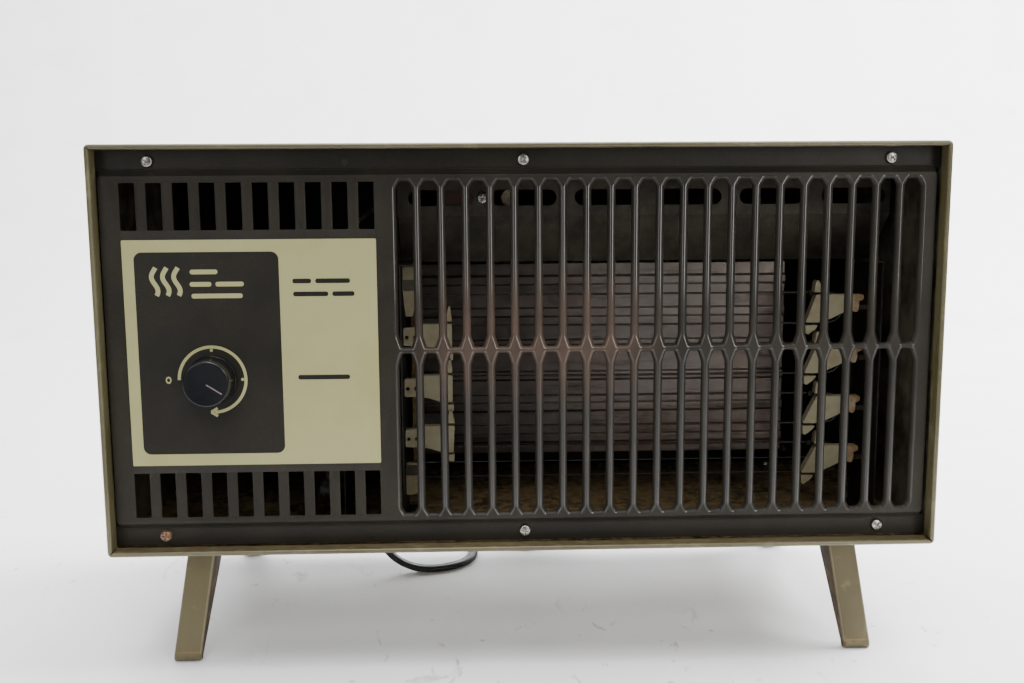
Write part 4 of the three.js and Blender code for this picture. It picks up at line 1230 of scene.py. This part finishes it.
def insulator(node, side, tilt):
    """A fired clay holder, as (distance out from its inner end, height over its middle). Two slots
    behind its small fingers hold the ribbon, and its outer end clips into the bracket."""
    (x0, x1), (d0, d1), (h0, h1) = mm_box(node)
    inner, long = (x0 if side > 0 else x1), x1 - x0
    if side > 0:
        body = [(0, -8.2), (tilt, 8.2), (33.4, 8.2), (34.2, 7.2), (33.8, 4.8), (31.2, 4.2), (31.6, 2.6),
                (31.0, -1.6), (29.6, -2.4), (27.2, -1.2), (22.6, -2.3), (13.9, -6.4), (7.5, -8.2)]
        upper = [(tilt + a, b) for a, b in ((-1.2, 9.7), (2.6, 9.7), (2.3, 14.6), (1.0, 16.9), (-0.6, 15.6))]
        lower = [(0, -9.8), (7.4, -9.8), (5.8, -12.2), (1.4, -15.4), (0.1, -14.2)]
        holes = []
    else:
        inner, long = inner - 2.0, long - 2.0
        body = [(0, -7.9), (tilt * 0.3, 8.2), (20.4, 8.2), (22.0, 6.4), (long, 6.0), (long, -4.4),
                (21.4, -4.4), (14.0, -5.3), (7.0, -7.7)]
        upper = [(tilt * 0.3, 9.7), (3.6, 9.7), (1.9, 18.3), (0.9, 18.6)]
        lower = [(-0.6, -9.3), (3.4, -9.3), (3.2, -13.0), (-0.4, -13.3)]
        holes = [circle(a, 0.4, 1.15, 16) for a in (long - 1.9, long - 6.5)]

    def spot(outline):
        return [(inner + side * a, (h0 + h1) / 2 + b) for a, b in outline]

    def scorch(a0, a1, b0, b1, front, back):
        shape.slab(spot([(a0, b0), (a1, b0), (a1, b1), (a0, b1)]), d1 - front, d1 - back, kind=1)

    shape = Shape()
    shape.slab(spot(rounded(body, 0.9, 3)), d0, d1, [spot(hole) for hole in holes])
    for finger in (upper, lower):
        shape.slab(spot(rounded(finger, 0.6, 3)), d0, d1)
    for low, high, a in ((7.6, 10.4, tilt * 0.5 + 1.4), (-10.4, -7.6, 1.6)):
        scorch(a - 1, a + 1.2, low, high, 1.6, 0.2)
    scorch(long - 8, long, -1.2, 1.6, 2.2, 0.4)
    clay(node, shape, SCORCHED)


def end_holder(node, low, high, profile):
    """A short holder for an end of the ribbon, with a steel band round it."""
    (x0, _), (d0, d1), (h0, _) = mm_box(node)
    shape = Shape()
    shape.slab(rounded([(x0 + a, h0 + b) for a, b in profile], 0.9, 3), d0, d1)
    shape.slab(rounded_rect(x0 - 0.2, x0 + 9.0, h0 + low, h0 + high, 0.5, 3), d0 - 0.5, d1 + 0.1, kind=1)
    clay(node, shape, INNER)


for i, tilt in enumerate((5.8, 7.0, 8.0, 8.6)):
    insulator(f"insulator_right_{i + 1}", 1, tilt)
for i, tilt in ((2, 0.0), (3, 0.0), (4, -3.0)):
    insulator(f"insulator_left_{i}", -1, tilt)
end_holder("insulator_left_1", 15.1, 21.4, [(0, 15.1), (1.4, 0), (5.5, 0), (8.4, 13.6), (8.7, 16), (8.6, 22),
                                            (7.6, 29.1), (0, 29.1)])
end_holder("insulator_left_5", 12.0, 18.2, [(0, 0), (4.5, 0), (8.6, 2.2), (8.7, 9.5), (7.0, 18.5), (0, 18.5)])


def clip_strips():
    """Thin brass springs between the outer ends of the left insulators."""
    shape = Shape()
    for i in range(1, 5):
        (x0, _), (_, back), (h0, _) = mm_box(f"insulator_left_{i}")
        x = x0 + 5.2
        high = h0 + 2 if i == 1 else middle(f"insulator_left_{i}")[2] - 3.6
        low = middle(f"insulator_left_{i + 1}")[2] + 5.2
        half = (low + high) / 2
        path = [(x + a, h) for a, h in ((-1.2, low), (1.2, low), (1.5, half), (1.0, high), (-1.0, high),
                                        (-0.8, half))]
        shape.slab(rounded(path, 0.6, 2), back - 2.0, back - 1.4)
    shape.build("element_clip_springs", [BRASS], "inner_steel")


clip_strips()
for moving in (
    ("thermostat_shaft", STEEL, 0.3, "shaft_steel", "thermostat_dial"),
    ("motor_rotor", STEEL, 0.4, "shaft_steel", "fan"),
    ("fan_blade", ALUMINIUM, 0.3, "motor_aluminium", "fan"),
    ("tip_pendulum", DULL, 0.5, "zinc_hardware", "tip_arm"),
):
    refined(*moving)

# ---- stage ----


def floor_material():
    """White vinyl with faint scuffs near the heater, with painted shade darkening it in front of the
    picture's lower edge.
    """
    f = Finish("floor_white", (236, 236, 238), 0.5, specular=0.3)
    f.patch((214, 213, 212), (7, 5, 0.6), (0.5, 0.75, 0.0, 0.35))
    near = f.times(f.span(f.noise(3.1, 2), 0.46, 0.6), f.span(f.axis("Y"), 0.35, 0.1))
    f.patch((150, 146, 138), (60, 5, 0.62, 1.2, (1.0, 0.35, 1.0)), (0.62, 0.71, 0.0, 0.7), near)
    f.tint((168, 164, 156), near, f.span(f.cells(38), 0.09, 0.03, 0.0, 0.7))
    # Painted shade: the floor greys and then darkens further in front, standing in for light falloff.
    f.tint((116, 116, 118), f.span(f.axis("Y"), -0.15, -0.42))
    f.tint((64, 64, 66), f.span(f.axis("Y"), -0.55, -1.1))
    return f.done((16, 4), 0.4, 0.62)


def sweep_floor():
    """A pale floor that curves up into a backdrop, in metres."""
    profile = [(-3.0, 0.0), (1.2, 0.0), *arc(1.2, 1.1, 1.1, 8 - 90, 0, 13), (2.3, 3.6)]
    shape = Shape()
    shape.grid([[(x, y, z) for x in (-4.0, 4.0)] for y, z in profile], around=False)
    mesh = bpy.data.meshes.new("studio_floor")
    mesh.from_pydata(shape.points, [], shape.faces)
    mesh.materials.append(floor_material())
    mesh.polygons.foreach_set("use_smooth", [True] * len(mesh.polygons))
    add_object("studio_floor", mesh)


def soft_light(name, place, target, size, watts, colour=(1.0, 1.0, 1.0)):
    data = bpy.data.lights.new(name, "AREA")
    data.shape = "RECTANGLE"
    data.size, data.size_y = size
    data.energy, data.color = watts, colour
    light = add_object(name, data)
    light.location = place
    light.rotation_mode = "QUATERNION"
    light.rotation_quaternion = (Vector(target) - Vector(place)).to_track_quat("-Z", "Y")


def lights():
    """Two tall boxes beside the camera draw the bright lines down the bars, the key throws the lip's
    shadow on the top strip, and the rest light the floor and the backdrop."""
    heater = (0, -0.1, 0.2)
    soft_light("softbox_left", (-0.72, -1.35, 0.6), heater, (0.36, 1.1), 3.8, (0.93, 0.97, 1.0))
    soft_light("softbox_right", (0.72, -1.35, 0.6), heater, (0.36, 1.1), 8.0, (1.0, 0.98, 0.95))
    soft_light("key", (0.1, -1.6, 1.6), heater, (1.2, 0.5), 10.5)
    soft_light("overhead", (0.1, -0.15, 1.75), (0, -0.05, 0.0), (1.7, 0.9), 54)
    soft_light("backdrop_wash", (-0.3, 0.9, 2.4), (0, 2.4, 0.7), (3.2, 0.8), 170)
    soft_light("backdrop_side", (1.9, 0.9, 1.6), (1.5, 2.3, 0.6), (1.0, 1.0), 115)
    soft_light("floor_wash", (1.5, 0.15, 1.4), (0.9, 0.25, 0.0), (0.8, 0.8), 80)
    soft_light("floor_wash_left", (-1.9, 0.4, 1.6), (-1.1, 0.5, 0.0), (0.9, 0.9), 14)
    world = bpy.data.worlds.new("studio")
    world.use_nodes = True
    sky = world.node_tree.nodes["Background"].inputs
    sky["Color"].default_value, sky["Strength"].default_value = (0.93, 0.96, 1.0, 1.0), 0.06
    bpy.context.scene.world = world


sweep_floor()
lights()

bpy.context.view_layer.update()
